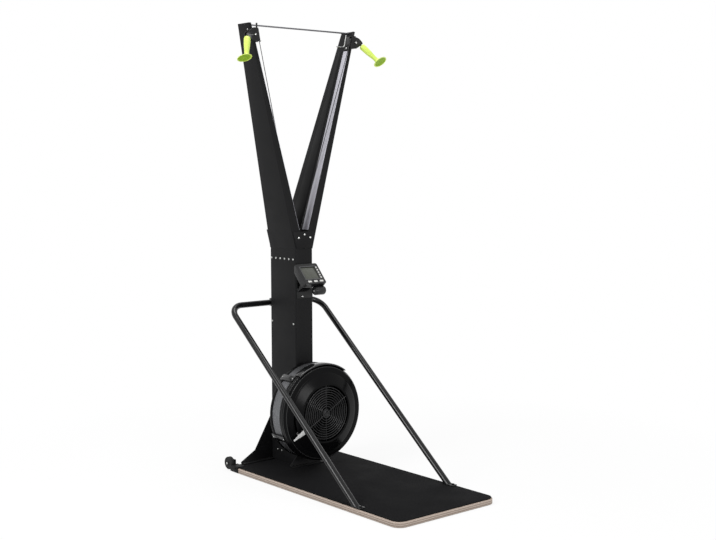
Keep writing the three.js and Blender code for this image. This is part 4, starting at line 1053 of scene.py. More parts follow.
@dataclass
class Mast:
    """The column, the two arms of the Y and what is bolted to them."""

    half_width: float = 54
    front: float = 409
    rear: float = 627
    bend: float = 10
    wall: float = 3
    floor: float = 30.6
    seam: float = 1127
    top: float = 2220
    spread: float = 329
    arm_width: float = 15
    arm_depth: float = 95
    arm_forward: float = 9.5
    arm_bend: float = 4
    arm_wall: float = 2.5
    strip_low: float = 1222
    strip_high: float = 2122
    # At the strip's low end, then at its high end
    strip_widths: Pair = (49, 37)
    strip_thickness: float = 1.2
    strip_edge: float = 3
    cover_rise: float = 1.2
    cover_behind_strip: float = 19
    # From the arm's rear, at the cover's low end, then at its high end
    cover_margins: Pair = (43, 27)
    rod: float = 4
    screw: float = 5.2
    small_screw: float = 4.2
    screw_rise: float = 3
    screw_sink: float = 0.4
    seam_screws: tuple[float, ...] = (430, 466, 502, 538, 575, 611)
    seam_screw_height: float = 1076
    low_screws: Pair = (430, 611)
    low_screw_height: float = 751
    base_screws: Pair = (538, 573)
    base_screw_height: float = 87
    # Screws by y and height, then by x and height
    arm_screw: Pair = (420, 2190)
    front_plate_screws: tuple[Pair, ...] = ((0, 1200), (-36, 1184), (36, 1184))
    rear_plate_screws: tuple[Pair, ...] = (
        (0, 1203), (-44, 1187), (44, 1187), (-40, 1146), (40, 1146),
    )

    def arm_faces(self, z: float) -> Faces:
        """Inner and outer x, then front and rear y, of the right arm at a height.

        Args:
            z: The height.

        Returns:
            The four places.
        """
        share = (z - self.seam) / (self.top - self.seam)
        arm_front = self.front - self.arm_forward
        return (
            between(GAP / 2, self.spread - self.arm_width, share),
            between(self.half_width, self.spread, share),
            between(self.front, arm_front, share),
            between(self.rear, arm_front + self.arm_depth, share),
        )

    def strip_share(self, z: float) -> float:
        """How far up the bright strip a height is, from 0 to 1."""
        return (z - self.strip_low) / (self.strip_high - self.strip_low)

    def strip_faces(self, z: float) -> Faces:
        """Inner and outer x, then front and rear y, of the right arm's bright strip.

        Args:
            z: The height.

        Returns:
            The four places.
        """
        width = between(*self.strip_widths, self.strip_share(z))
        inner, _, front, _ = self.arm_faces(z)
        start = front + self.strip_edge
        return inner - GAP - self.strip_thickness, inner - GAP, start, start + width

    def cover_faces(self, z: float) -> Faces:
        """Inner and outer x, then front and rear y, of the right arm's raised inner cover.

        Args:
            z: The height.

        Returns:
            The four places.
        """
        inner, _, _, rear = self.arm_faces(z)
        front = self.strip_faces(z)[3] + self.cover_behind_strip
        margin = between(*self.cover_margins, self.strip_share(z))
        return inner - self.cover_rise, inner + GAP, front, rear - margin

    def sloped_box(self, low: float, high: float, faces: Callable[[float], Faces]) -> Form:
        """A box whose four walls follow a rule of the height.

        Args:
            low: Its lower end.
            high: Its upper end.
            faces: The rule, from a height to the walls' places.

        Returns:
            The form.
        """
        box = Form().box((0, 0, low), (1, 1, high))
        for vert in box.bm.verts:
            x0, x1, y0, y1 = faces(vert.co.z)
            vert.co.x = x1 if vert.co.x > 0.5 else x0
            vert.co.y = y1 if vert.co.y > 0.5 else y0
        return box

    def column(self) -> None:
        """The folded sheet column, open at both ends."""
        x = self.half_width
        box = Form().box((-x, self.front, self.floor), (x, self.rear, self.seam))
        box.round_along(Axis.Z, self.bend, 6)
        box.open_at(Axis.Z, self.floor).open_at(Axis.Z, self.seam).hollow(self.wall)
        box.piece("folded_column", POWDER_COAT, "black_steel", "lower_column")

    def arm(self, side: Side) -> None:
        """One tapered arm, with a raised cover on its inner face and the strip behind the cord.

        Args:
            side: The side that it is on.
        """
        word = side.word
        low = self.seam + GAP
        shell = self.sloped_box(low, self.top, self.arm_faces)
        ends = [(e, *(v.co.z for v in e.verts)) for e in shell.bm.edges]
        shell.bevel([e for e, one, other in ends if abs(one - other) > 1], self.arm_bend, 5)
        shell.open_at(Axis.Z, low).hollow(self.arm_wall).on_side(side)
        shell.piece(f"{word}_folded_arm", POWDER_COAT, "black_steel", f"{word}_arm")
        cover = self.sloped_box(self.strip_low, self.strip_high, self.cover_faces)
        cover.break_edges(0.7, 2, 40).on_side(side)
        cover.piece(f"{word}_arm_cover", POWDER_COAT, "black_steel")
        strip = self.sloped_box(self.strip_low, self.strip_high, self.strip_faces)
        strip.break_edges(0.4, 2, 40).on_side(side)
        strip.piece(f"{word}_bright_strip", BRUSHED_STEEL, "bright_strip", f"{word}_guard_strip")

    def screws(self) -> None:
        """The pale screws on the column's sides, the crotch plates and the arms."""
        form = Form()
        arm_y, arm_z = self.arm_screw
        arm_x = self.arm_faces(arm_z)[1] - self.screw_sink
        rows = (
            (self.screw, self.seam_screws, self.seam_screw_height),
            (self.screw, self.low_screws, self.low_screw_height),
            (self.small_screw, self.base_screws, self.base_screw_height),
        )
        for side in Side:
            sign = side.value
            out = (sign, 0, 0)
            for radius, row, z in rows:
                places = [(sign * self.half_width, y, z) for y in row]
                form.add(screw_row(radius, self.screw_rise, out, places))
            places = [(sign * arm_x, arm_y, arm_z)]
            form.add(screw_row(self.small_screw, self.screw_rise, out, places))
        front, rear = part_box("front_tie_plate")[0].y / MM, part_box("rear_tie_plate")[1].y / MM
        for out, y, row in (
            (TO_FRONT, front, self.front_plate_screws),
            (Axis.Y.value, rear, self.rear_plate_screws),
        ):
            form.add(screw_row(self.screw, self.screw_rise, out, [(x, y, z) for x, z in row]))
        form.fasteners("mast_screws")

    def build(self) -> None:
        """Makes the whole mast."""
        self.column()
        for side in Side:
            self.arm(side)
        for node in ("front_tie_plate", "rear_tie_plate", "front_foot_plate", "rear_foot_plate"):
            softened(node, node.replace("plate", "steel"), POWDER_COAT)
        low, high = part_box("spreader_rod")
        y, z = (low.y + high.y) / 2 / MM, (low.z + high.z) / 2 / MM
        rod = Form().tube([(low.x / MM, y, z), (high.x / MM, y, z)], self.rod, 20)
        rod.piece("round_spreader_rod", BLACK_ZINC, "zinc_steel", "spreader_rod")
        self.screws()
        dress_nodes(POWDER_COAT, "splice_sleeve", "return_anchor")


@dataclass
class FanUnit:
    """The moulded fan housing with its grille, band, guard, damper and wheel."""

    centre_z: float = 320
    rim: float = 239
    wall: float = 3
    bore: float = 20.3
    # Radius and rear face
    boss: Pair = (62, 408.7)
    back: float = 391.2
    rear_front: float = 367.2
    band: Pair = (301.9, 370.9)
    band_wall: float = 1.2
    cover_back: float = 305.6
    cover_front: float = 235.6
    # Radius and depth at the cone's inner and outer edge
    cone: tuple[Pair, Pair] = ((150, 0), (199, 20))
    guard_front: float = 259.6
    guard_gap: float = 0.6
    guard_rise: float = 7.6
    guard_arc_deg: float = 72
    grille: float = 140
    grille_depth: float = 5
    hub: float = 24
    rings: int = 12
    rings_on_hub: int = 3
    ring_half: float = 2.2
    # Each bar's angle, and how far it is sunk
    bars: tuple[Pair, ...] = ((30, 0), (90, 2.4), (150, 2.4))
    bar_half: float = 1.6
    bead: float = 1.7
    # Each bead's distance in from the rim, and back from the front
    beads: tuple[Pair, ...] = ((0.6, 39.5), (0.6, 52), (10.5, 25.3))
    clips_deg: tuple[float, ...] = (49, 131, -27, 207)
    # Front and rear end of the straps
    clip_ends: Pair = (294, 387.8)
    clip_half: float = 16.5
    clip_gap: float = 0.8
    clip_rise: float = 6
    clip_screw: float = 3.4
    clip_screw_inset: float = 7
    rib_inset: float = 14
    rib_share: float = 0.4
    lever_deg: float = 208
    slot_deg: Pair = (165, 211)
    slot_radii: Pair = (181.4, 190.6)
    disc: float = 146

    def about_axle(self, form: Form, y: float = 0) -> Form:
        """Puts a form that is turned about +Z on the fan's axis, with +Z to the front."""
        return form.aim(TO_FRONT, (0, y, self.centre_z))

    def ring(self, profile: Sequence[Pair], steps: int = 128) -> Form:
        """Turns a profile of (radius, y) about the fan's axis."""
        return self.about_axle(Form().turned([(radius, -y) for radius, y in profile], steps))

    def rear_shell(self) -> None:
        """The back half of the housing, with a boss round the axle."""
        rim, wall, back, bore = self.rim, self.wall, self.back, self.bore
        inner = rim - wall
        boss, boss_back = self.boss
        profile = [
            (bore, boss_back), (boss, boss_back), (boss, back), (inner - 8, back), (rim, back - 8),
            (rim, self.rear_front), (inner, self.rear_front), (inner, back - 9),
            (inner - 8, back - wall), (bore, back - wall), (bore, boss_back),
        ]
        shell = self.ring(profile).break_edges(1.6, 3, 25)
        shell.piece("fan_rear_housing", HOUSING_ABS, "black_plastic", "fan_rear_shell")

    def straps(self) -> None:
        """Four straps from the back half over the band, with a rib and a screw at each end."""
        straps, heads = Form(), Form()
        half, top = self.clip_half, self.rim + self.clip_rise
        (front, back), inset, rib_half = self.clip_ends, self.rib_inset, half * self.rib_share
        for angle in self.clips_deg:
            strap = Form().box((self.rim + self.clip_gap, -half, front), (top, half, back))
            low, high = (top - 1, -rib_half, front + inset), (top + 1, rib_half, back - inset)
            rib = Form().box(low, high)
            strap.break_edges(2, 3, 40).add(rib.break_edges(0.9, 3, 40))
            straps.add(self.about_axle(strap.spun(180, Axis.X).spun(angle)))
            for y in (front + self.clip_screw_inset, back - self.clip_screw_inset):
                head = button_screw(self.clip_screw, 2).spun(90, Axis.Y).move(top, 0, -y)
                heads.add(self.about_axle(head.spun(angle)))
        straps.piece("fan_straps", POLISHED_ABS, "black_plastic")
        heads.fasteners("fan_strap_screws")

    def mesh_band(self) -> None:
        """The perforated steel between the two halves."""
        outer = self.rim - self.wall - GAP
        inner = outer - self.band_wall
        front, back = self.band
        corners = [(outer, front), (outer, back), (inner, back), (inner, front)]
        band = self.ring([*corners, corners[0]])
        band.map_round(Vector((0, 0, self.centre_z)))
        band.piece("fan_perforated_band", PERFORATED, "grey_mesh", "fan_mesh_band")

    def on_cone(self, radius: float, depth: float) -> Pair:
        """A point of the front's cone, or of its inner face some depth behind it.

        Args:
            radius: The point's radius.
            depth: How far behind the outer face it lies.

        Returns:
            Its radius and y.
        """
        (inner, low), (outer, high) = self.cone
        return radius, self.cover_front + depth + (high - low) * (radius - inner) / (outer - inner)

    def front_cover(self) -> None:
        """The front half: a stepped cone round the grille, with a slot for the damper's lever."""
        front, rim, wall, back = self.cover_front, self.rim, self.wall, self.cover_back
        slot_inner, slot_outer = self.slot_radii
        depth = self.grille_depth
        (cone_inner, _), (cone_outer, _) = self.cone
        outside = [
            (rim - wall, back), (rim, back), (rim, front + 38), (rim - 10, front + 24),
            (rim - 28, front + 22), (cone_outer + 3, front + 22), self.on_cone(cone_outer, 0),
            self.on_cone(slot_outer, 0), self.on_cone(slot_inner, 0),
            self.on_cone(cone_inner, 0), (self.grille, front),
        ]
        inside = [
            (self.grille, front + depth), self.on_cone(cone_inner, depth),
            self.on_cone(slot_inner, depth), self.on_cone(slot_outer, depth),
            (cone_outer - 1, front + 26), (rim - 14, front + 27),
            (rim - wall, front + 39), (rim - wall, back),
        ]
        cover = self.ring(outside + inside)
        self.cut_slot(cover)
        cover.break_edges(1.5, 3, 14)
        cover.piece("fan_front_housing", HOUSING_ABS, "black_plastic", "fan_front_cover")

    def cut_slot(self, cover: Form) -> None:
        """Opens the arc that the lever's pin runs in, and closes the slot's walls.

        Args:
            cover: The front half, before its edges are rounded.
        """
        start, end = self.slot_deg
        inner, outer = self.slot_radii
        gone = []
        for face in cover.bm.faces:
            spot = face.calc_center_median()
            rise = spot.z - self.centre_z
            angle = math.degrees(math.atan2(rise, spot.x)) % 360
            if inner < math.hypot(spot.x, rise) < outer and start < angle < end:
                gone.append(face)
        bmesh.ops.delete(cover.bm, geom=gone, context="FACES")
        bmesh.ops.bridge_loops(cover.bm, edges=cover.open_edges())
        cover.outwards()

    def rim_beads(self) -> None:
        """Three thin round beads that catch the light along the rim's edges."""
        beads = Form()
        for inset, depth in self.beads:
            radius, y = self.rim - inset, self.cover_front + depth
            beads.add(self.ring([
                (radius + self.bead * math.cos(a), y + self.bead * math.sin(a))
                for a in evenly(0, math.tau, 10)
            ]))
        beads.piece("fan_rim_beads", POLISHED_ABS, "black_plastic")

    def grating(self) -> None:
        """The grille: round-topped rings and a hub, over one flush and two sunk bars."""
        front, half, hub = self.cover_front, self.ring_half, self.hub
        pitch, depth = self.grille / self.rings, self.grille_depth
        grating = Form()
        for index in range(self.rings_on_hub, self.rings):
            middle = pitch * index
            crown = [
                (middle - half * math.cos(a), front + half * (1 - math.sin(a)))
                for a in evenly(0, math.pi, 8)
            ]
            foot = [(middle + half, front + depth), (middle - half, front + depth)]
            grating.add(self.ring([*crown, *foot, crown[0]], 96))
        for angle, sunk in self.bars:
            reach, wide = self.grille + 3, self.bar_half
            bar = Form().box((-reach, -wide, sunk), (reach, wide, depth)).break_edges(0.9, 3, 40)
            bar.apply(Matrix.Scale(-1, 4, Axis.Z.vector)).spun(angle)
            grating.add(self.about_axle(bar, front))
        disc = Form().turned([
            (0, -1.2), (1.5, 0), (3, -1.2), (4, -3.2), (7.5, -3.2), (9, -1), (pitch, 0), (14, -1),
            (15.5, -3.2), (19, -3.2), (20.5, -1), (22.5, 0), (hub, -1.5), (hub, -depth),
            (0, -depth), (0, -1.2),
        ], 48)
        grating.add(self.about_axle(disc, front))
        # The grille's lighter grey is a painted highlight on black plastic
        grating.piece("fan_grille", LIT_GRILLE_ABS, "black_plastic")

    def top_guard(self) -> None:
        """The polished arc over the top of the housing."""
        inner, outer = self.rim + self.guard_gap, self.rim + self.guard_rise
        front, back = -self.guard_front, -self.cover_back
        section = [
            (inner, back), (outer - 2, back), (outer, back + 3), (outer, front - 5),
            (outer - 3, front), (inner, front), (inner, back),
        ]
        guard = Form().turned(section, 48, self.guard_arc_deg).spun(90 - self.guard_arc_deg / 2)
        guard = self.about_axle(guard.break_edges(1.6, 3, 35))
        guard.piece("fan_polished_guard", POLISHED_ABS, "gloss_plastic", "fan_top_guard")

    def damper(self) -> None:
        """The damper, cut where its pale lever leaves the black disc."""
        angle = math.radians(self.lever_deg)
        out = Vector((math.cos(angle), 0, math.sin(angle)))
        cut = Vector((0, 0, self.centre_z)) + out * self.disc
        plate = Form().copy_node("damper_disc").cut_away(cut, -out).break_edges(0.4, 1, 50)
        plate.piece("damper_plate", HOUSING_ABS, "black_plastic", "damper_disc", "damper")
        lever = Form().copy_node("damper_disc").cut_away(cut, out).break_edges(0.8, 2, 50)
        lever.piece("damper_lever", LEVER_NYLON, "grey_mesh", body="damper")

    def build(self) -> None:
        """Makes the housing and dresses what shows inside it."""
        self.rear_shell()
        self.straps()
        self.mesh_band()
        self.front_cover()
        self.rim_beads()
        self.grating()
        self.top_guard()
        self.damper()
        dress_nodes(WHEEL_COAT, "fan_wheel")
        dress_nodes(ZINC_PLATE, "main_axle", "front_bearing", "rear_bearing")


@dataclass
class CordRun:
    """One side's drive cord, pulley, bracket and handle."""

    side: Side
    lean: Point
    spread: float = 310
    height: float = 2163
    pulley_y: float = 387.309
    pulley_half: float = 8.5
    pulley_bore: float = 5.3
    pulley_bolt: float = 4.8
    pitch: float = 26
    rim: float = 29
    cord: float = 1.8
    axle_height: float = 320
    drum: float = 30
    drum_offset: float = 14
    guide: Point = (3.5, 466, 1170)
    guide_wrap: float = 16.1
    # How far the cord goes round the top pulley, and in how many steps
    over_deg: float = 150
    over_steps: int = 25
    hitch_out: float = 36.3
    hitch_drop: float = 5
    # Share of the way from the pulley to the stop where the paid out cord starts
    past_rim: float = 0.85
    stop: float = 7
    link: float = 4
    rod: tuple[Point, ...] = (
        (234.3, 434.9, 2143), (278, 434.9, 2143), (284.2, 432.5, 2149), (284.2, 418.1, 2202),
    )
    rod_radius: float = 2.9
    flange_bolt: float = 4.6
    flange_bolt_at: Point = (287.2, 422, 2137)
    grip_start: float = 14
    grip_length: float = 106
    grip_radius: float = 16
    # Shares of a radius and of a length, from the cord's end outwards
    grip_shares: tuple[Pair, ...] = (
        (0.6, 0), (0.78, 0), (0.94, 0.03), (1, 0.1), (1, 0.24), (0.95, 0.45), (0.8, 0.68),
        (0.69, 0.85), (0.66, 0.97),
    )
    flare_radius: float = 36
    flare_length: float = 19
    flare_tilt_deg: float = 18
    flare_offset: float = 10
    flare_shares: tuple[Pair, ...] = (
        (0.37, 0.25), (0.52, 0.5), (0.76, 0.75), (0.97, 0.9), (1, 1), (0.98, 1.07), (0.93, 1.1),
        (0.87, 1.07), (0.66, 0.96), (0.42, 0.9), (0.18, 0.875),
    )
    cup_shares: tuple[Pair, ...] = (
        (0.18, 0.86), (0.42, 0.885), (0.66, 0.945), (0.85, 1.05), (0.85, 1.075), (0.66, 0.985),
        (0.42, 0.92), (0.18, 0.895),
    )

    @property
    def hitch(self) -> Vector:
        """Where the cord ends and the handle turns."""
        x = self.side.value * (self.spread + self.hitch_out)
        return Vector((x, self.pulley_y, self.height - self.hitch_drop))

    def over_pulley(self, angle_deg: float) -> Vector:
        """A point of the cord on the top pulley, from its inner side over the top.

        Args:
            angle_deg: How far round the pulley it is.

        Returns:
            The point.
        """
        angle = math.radians(angle_deg)
        x = self.side.value * (self.spread - self.pitch * math.cos(angle))
        return Vector((x, self.pulley_y, self.height + self.pitch * math.sin(angle)))

    def cords(self) -> None:
        """The cord from the drum to the pulley, and the short end that a pull pays out."""
        x, y, z = self.guide
        sign, wrap, word = self.side.value, self.guide_wrap, self.side.word
        rise = math.atan2(self.spread - self.pitch - x, self.height - z)
        bend = [
            (sign * (x + wrap * (1 - math.cos(a))), y, z + wrap * math.sin(a))
            for a in evenly(0, rise, 4)
        ]
        over = [self.over_pulley(a) for a in evenly(0, self.over_deg, self.over_steps)]
        end = self.hitch + Vector((-sign * self.stop / 2, 0, self.stop / 4))
        start = over[-1].lerp(end, self.past_rim)
        off_drum = (-self.drum, y + self.drum_offset * sign, self.axle_height)
        run = Form().tube([off_drum, *bend, *over, start], self.cord, 12)
        run.piece(f"{word}_braided_cord", BRAID, "cord", f"{word}_drive_cord", sharp_deg=60)
        slack = [start.lerp(end, share) for share in evenly(0, 1, 6)]
        paid = Form().tube(slack, self.cord - 0.1, 12)
        piece = paid.piece(f"{word}_paid_out_cord", BRAID, "cord", body=None, sharp_deg=60)
        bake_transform(piece)
        log.info("%s: blends from the frame to the cord's end", piece.name)

    def pulley(self) -> None:
        """The grooved top pulley, with its bracket, bolts and bent rod."""
        word, rim, half = self.side.word, self.rim, self.pulley_half
        groove = self.pitch - self.cord - 0.9
        flank = [
            (self.pulley_bore, half), (10, half), (12, half - 2), (20, half - 2), (rim - 2, half),
            (rim, half - 1), (groove, 2),
        ]
        low = [(radius, -height) for radius, height in flank]
        wheel = Form().turned([*low, *reversed(flank), low[0]], 64).break_edges(0.4, 2, 20)
        wheel.aim(Axis.Y.value, (self.spread, self.pulley_y, self.height)).on_side(self.side)
        name, node, body = (f"{word}_{rest}" for rest in ("grooved_pulley", "top_pulley", "pulley"))
        wheel.piece(name, FILLED_NYLON, "black_plastic", node, body)
        bracket = f"{word}_pulley_bracket"
        softened(bracket, f"{word}_pulley_cheeks", TUBE_COAT, 1.0)
        front = (self.spread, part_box(bracket)[0].y / MM, self.height)
        head = button_screw(self.pulley_bolt, 3).aim(TO_FRONT, front)
        rod = Form().tube(self.rod, self.rod_radius, 16)
        bolt = button_screw(self.flange_bolt, 3).aim((-1, 0, 0), self.flange_bolt_at)
        Form().add(head, rod, bolt).on_side(self.side).fasteners(f"{word}_pulley_fittings")

    def grip_ring(self, radius: float, reach: float) -> tuple[Matrix, float]:
        """The plane of a ring of the grip, whose foot tilts and shifts outwards past the neck.

        Args:
            radius: The ring's radius.
            reach: Its distance from the hitch along the grip.

        Returns:
            The turn and place of the ring's plane, and its radius.
        """
        along = Vector(self.lean).normalized()
        inward = Vector((-self.side.value, 0, 0))
        across = (inward - along * inward.dot(along)).normalized()
        level = across.cross(along).normalized()
        far = max((reach - self.grip_start - self.grip_length) / self.flare_length, 0)
        tilt = math.radians(self.flare_tilt_deg) * far
        axis = along * math.cos(tilt) + across * math.sin(tilt)
        middle = self.hitch + along * reach - across * (self.flare_offset * far**2)
        turn = Matrix((level.cross(axis), level, axis)).transposed().to_4x4()
        return Matrix.Translation(middle) @ turn, radius

    def foot_rings(self, shares: Sequence[Pair]) -> list[tuple[Matrix, float]]:
        """Rings of the flared foot from shares of its radius and length.

        Args:
            shares: Each ring's share of the radius and of the length.

        Returns:
            What lofted takes.
        """
        neck = self.grip_start + self.grip_length
        return [
            self.grip_ring(self.flare_radius * wide, neck + self.flare_length * far)
            for wide, far in shares
        ]

    def handle(self) -> None:
        """The cord's stop and link, and the grip with its flared, hollow foot."""
        word, stop, link = self.side.word, self.stop, self.link
        reach = self.grip_start - GAP
        spread = math.asin(link / stop)
        ball = [
            (stop * math.sin(a), stop * math.cos(a)) for a in evenly(math.pi - spread, spread, 14)
        ]
        seat = [(wide, math.sqrt(reach**2 - wide**2)) for wide in (link, link / 2)]
        knob = Form().turned([(0, -stop * math.cos(spread)), *ball, *seat, (0, reach)], 32)
        knob.aim(Vector(self.lean).normalized(), self.hitch)
        name, node, body = (f"{word}_cord_{rest}" for rest in ("ferrule", "stop", "end"))
        knob.piece(name, FILLED_NYLON, "zinc_steel", node, body, 50)
        rings = [
            self.grip_ring(self.grip_radius * wide, self.grip_start + self.grip_length * far)
            for wide, far in self.grip_shares
        ]
        grip = Form().lofted([*rings, *self.foot_rings(self.flare_shares)])
        # The cup's deeper green is painted shade in the hollow under the flare
        cup = Form().lofted(self.foot_rings(self.cup_shares))
        body = f"{word}_grip"
        for form, name, finish, node in (
            (grip, "soft_grip", GRIP_RUBBER, f"{word}_handle"), (cup, "grip_cup", SHADED_CUP_RUBBER, ""),
        ):
            rounded(form.piece(f"{word}_{name}", finish, "green_grip", node, body, 180))

    def build(self) -> None:
        """Makes the run, and dresses the roller, drum and return cord inside the column."""
        self.cords()
        self.pulley()
        self.handle()
        word = self.side.word
        dress_nodes(FILLED_NYLON, f"{word}_guide_roller", f"{word}_drum")
        dress_nodes(BRAID, f"{word}_return_cord")


@dataclass
class Stays:
    """The two bent tubes, their feet and the clamp behind the column."""

    radius: float = 15
    bend: float = 75
    bend_steps: int = 20
    spread: float = 286
    # y and height of the bar behind the column
    bar: Pair = (658, 839)
    foot_y: float = -332
    foot_z: float = 30.3
    # Width, then reach to the toe and to the heel
    foot: Point = (34, 46, 20)
    foot_thickness: float = 4
    foot_corners: Pair = (8, 4)
    # Radius and height of the head, and radius of the washer
    bolt: Point = (6.2, 5.2, 8.5)
    bolt_from_toe: float = 14

    def leg(self, side: Side) -> None:
        """One tube, from the clamp round its bend down to the board.

        Args:
            side: The side that it is on.
        """
        bar = Vector((0, *self.bar))
        foot = Vector((0, self.foot_y, self.foot_z))
        down = (foot - bar).normalized()
        across = Axis.X.vector
        centre = bar + across * (self.spread - self.bend) + down * self.bend
        arc = [
            centre + across * self.bend * math.sin(a) - down * self.bend * math.cos(a)
            for a in evenly(0, math.pi / 2, self.bend_steps)
        ]
        end = foot + across * self.spread + down * self.radius
        low = self.foot_z + GAP
        tube = Form().tube([bar + across * GAP, *arc, end], self.radius, 40)
        tube.cut_away((0, 0, low + 0.2), Axis.Z.value)
        width, toe, heel = self.foot
        front, rear, top = self.foot_y - toe, self.foot_y + heel, low + self.foot_thickness
        toe_corner, heel_corner = self.foot_corners
        x0, x1 = self.spread - width / 2, self.spread + width / 2
        plate = Form().box((x0, front, low), (x1, rear, top))
        plate.round_along(Axis.Z, toe_corner, 8, lambda p: p.y < self.foot_y)
        plate.round_along(Axis.Z, heel_corner, 5, lambda p: p.y > rear - 1)
        tube.add(plate.break_edges(0.8, 2, 60)).on_side(side)
        word = side.word
        tube.piece(f"{word}_bent_stay", TUBE_COAT, "black_steel", f"{word}_stay", sharp_deg=40)
        bolt = hex_bolt(*self.bolt).move(self.spread, front + self.bolt_from_toe, top)
        bolt.on_side(side).fasteners(f"{word}_stay_bolt", POWDER_COAT)

    def build(self) -> None:
        """Makes both stays and softens the clamp."""
        for side in Side:
            self.leg(side)
        softened("stay_clamp", "stay_clamp_block", POWDER_COAT, 1.5)


@dataclass
class Monitor:
    """The tilting monitor, drawn upright with its face on y = 0 and then leaned back."""

    lean_deg: float = 42.3
    middle: Point = (0, 357.4, 1006.6)
    # Left, right, low and high edge, then near and far face
    screen: Faces = (-46, 43, -32, 43)
    glass: Pair = (3, 5)
    bezel: float = 4
    bezel_faces: Pair = (-0.8, 0.2)
    bottom_keys: int = 3
    side_keys: int = 5
    pod: Point = (0, 37.2, -79.6)
    # Screws by radius and height
    pod_screw: Pair = (4.4, 2.4)
    bracket_wall: float = 3
    bracket_screw: Pair = (4.6, 2.6)
    bracket_screw_at: Pair = (-14, 890)

    def leaned(self, form: Form) -> Form:
        """Puts a form that is drawn upright in its place on the machine."""
        return form.spun(-self.lean_deg, Axis.X).move(*self.middle)

    def display(self) -> None:
        """The display, set down in the face behind its frame."""
        x0, x1, z0, z1 = self.screen
        near, far = self.glass
        glass = Form().box((x0, near, z0), (x1, far, z1)).break_edges(0.4, 2, 40)
        window = self.leaned(glass)
        window.piece("lcd_window", DISPLAY, "screen", "monitor_screen", "monitor")
        edge, (front, rear) = self.bezel, self.bezel_faces
        bezel = Form()
        for (left, low), (right, high) in (
            ((x0 - edge, z0 - edge), (x1 + edge, z0)), ((x0 - edge, z1), (x1 + edge, z1 + edge)),
            ((x0 - edge, z0), (x0, z1)), ((x1, z0), (x1 + edge, z1)),
        ):
            bezel.box((left, front, low), (right, rear, high))
        self.leaned(bezel).piece("lcd_frame", FACE_PLASTIC, "black_plastic", body="monitor")

    def build(self) -> None:
        """Makes the monitor, its keys and its bracket."""
        moulded = "black_plastic", "monitor"
        softened("monitor_case", "monitor_shell", CASE_ABS, 1.6, *moulded, 3, 50)
        softened("battery_pod", "battery_holder", CASE_ABS, 1.2, *moulded, 2, 50, 42)
        self.display()
        keys = [f"bottom_key_{i + 1}" for i in range(self.bottom_keys)]
        keys += [f"side_key_{i + 1}" for i in range(self.side_keys)]
        for key in keys:
            softened(f"monitor_{key}", f"{key}_cap", KEY_PLASTIC, 0.8, "pale_key", key, 3, 50)
        softened("monitor_bracket", "monitor_hinge_bracket", TUBE_COAT, 0.7)
        end = button_screw(*self.pod_screw).aim((-1, 0, 0), self.pod)
        self.leaned(end).fasteners("battery_holder_screw", body="monitor")
        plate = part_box("monitor_bracket")[1].y / MM - self.bracket_wall
        x, z = self.bracket_screw_at
        screw = button_screw(*self.bracket_screw).aim(TO_FRONT, (x, plate, z))
        screw.fasteners("monitor_bracket_screw")


@dataclass
class TransportWheels:
    """The small wheels on the board's rear corners."""

    face: float = 303
    width: float = 25
    radius: float = 32
    bore: float = 5.4
    # Places by y and height, heads by radius and height
    axle: Pair = (666, 36)
    axle_bolt: Pair = (5.4, 2.6)
    corner_screw: Pair = (4.5, 2.6)
    corner_screw_at: Pair = (594, 22)

    def wheel(self, side: Side) -> None:
        """One wheel, a tyre on a stepped hub, with its bracket and bolts.

        Args:
            side: The side that it is on.
        """
        word = side.word
        half, radius = self.width / 2, self.radius
        flank = [
            (self.bore, half), (13, half), (13, half - 1.2), (15, half - 3.5), (22, half - 3.5),
            (24, half - 1.2), (radius - 4, half - 1), (radius - 1.2, half - 2.4),
            (radius, half - 5),
        ]
        low = [(wide, -height) for wide, height in flank]
        y, z = self.axle
        tyre = Form().turned([*low, *reversed(flank), low[0]], 64).break_edges(0.4, 2, 30)
        tyre.aim(Axis.X.value, (self.face - half, y, z)).on_side(side)
        name, node, body = (f"{word}_{rest}" for rest in ("tyre", "transport_wheel", "wheel"))
        tyre.piece(name, TYRE, "wheel_rubber", node, body)
        softened(f"{word}_wheel_bracket", f"{word}_corner_bracket", POWDER_COAT)
        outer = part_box("right_wheel_bracket")[1].x / MM
        for name, finish, sizes, at in (
            ("corner_screw", POWDER_COAT, self.corner_screw, self.corner_screw_at),
            ("wheel_axle_bolt", ZINC_PLATE, self.axle_bolt, self.axle),
        ):
            head = button_screw(*sizes).aim(Axis.X.value, (outer, *at))
            head.on_side(side).fasteners(f"{word}_{name}", finish)

    def build(self) -> None:
        """Makes both wheels."""
        for side in Side:
            self.wheel(side)


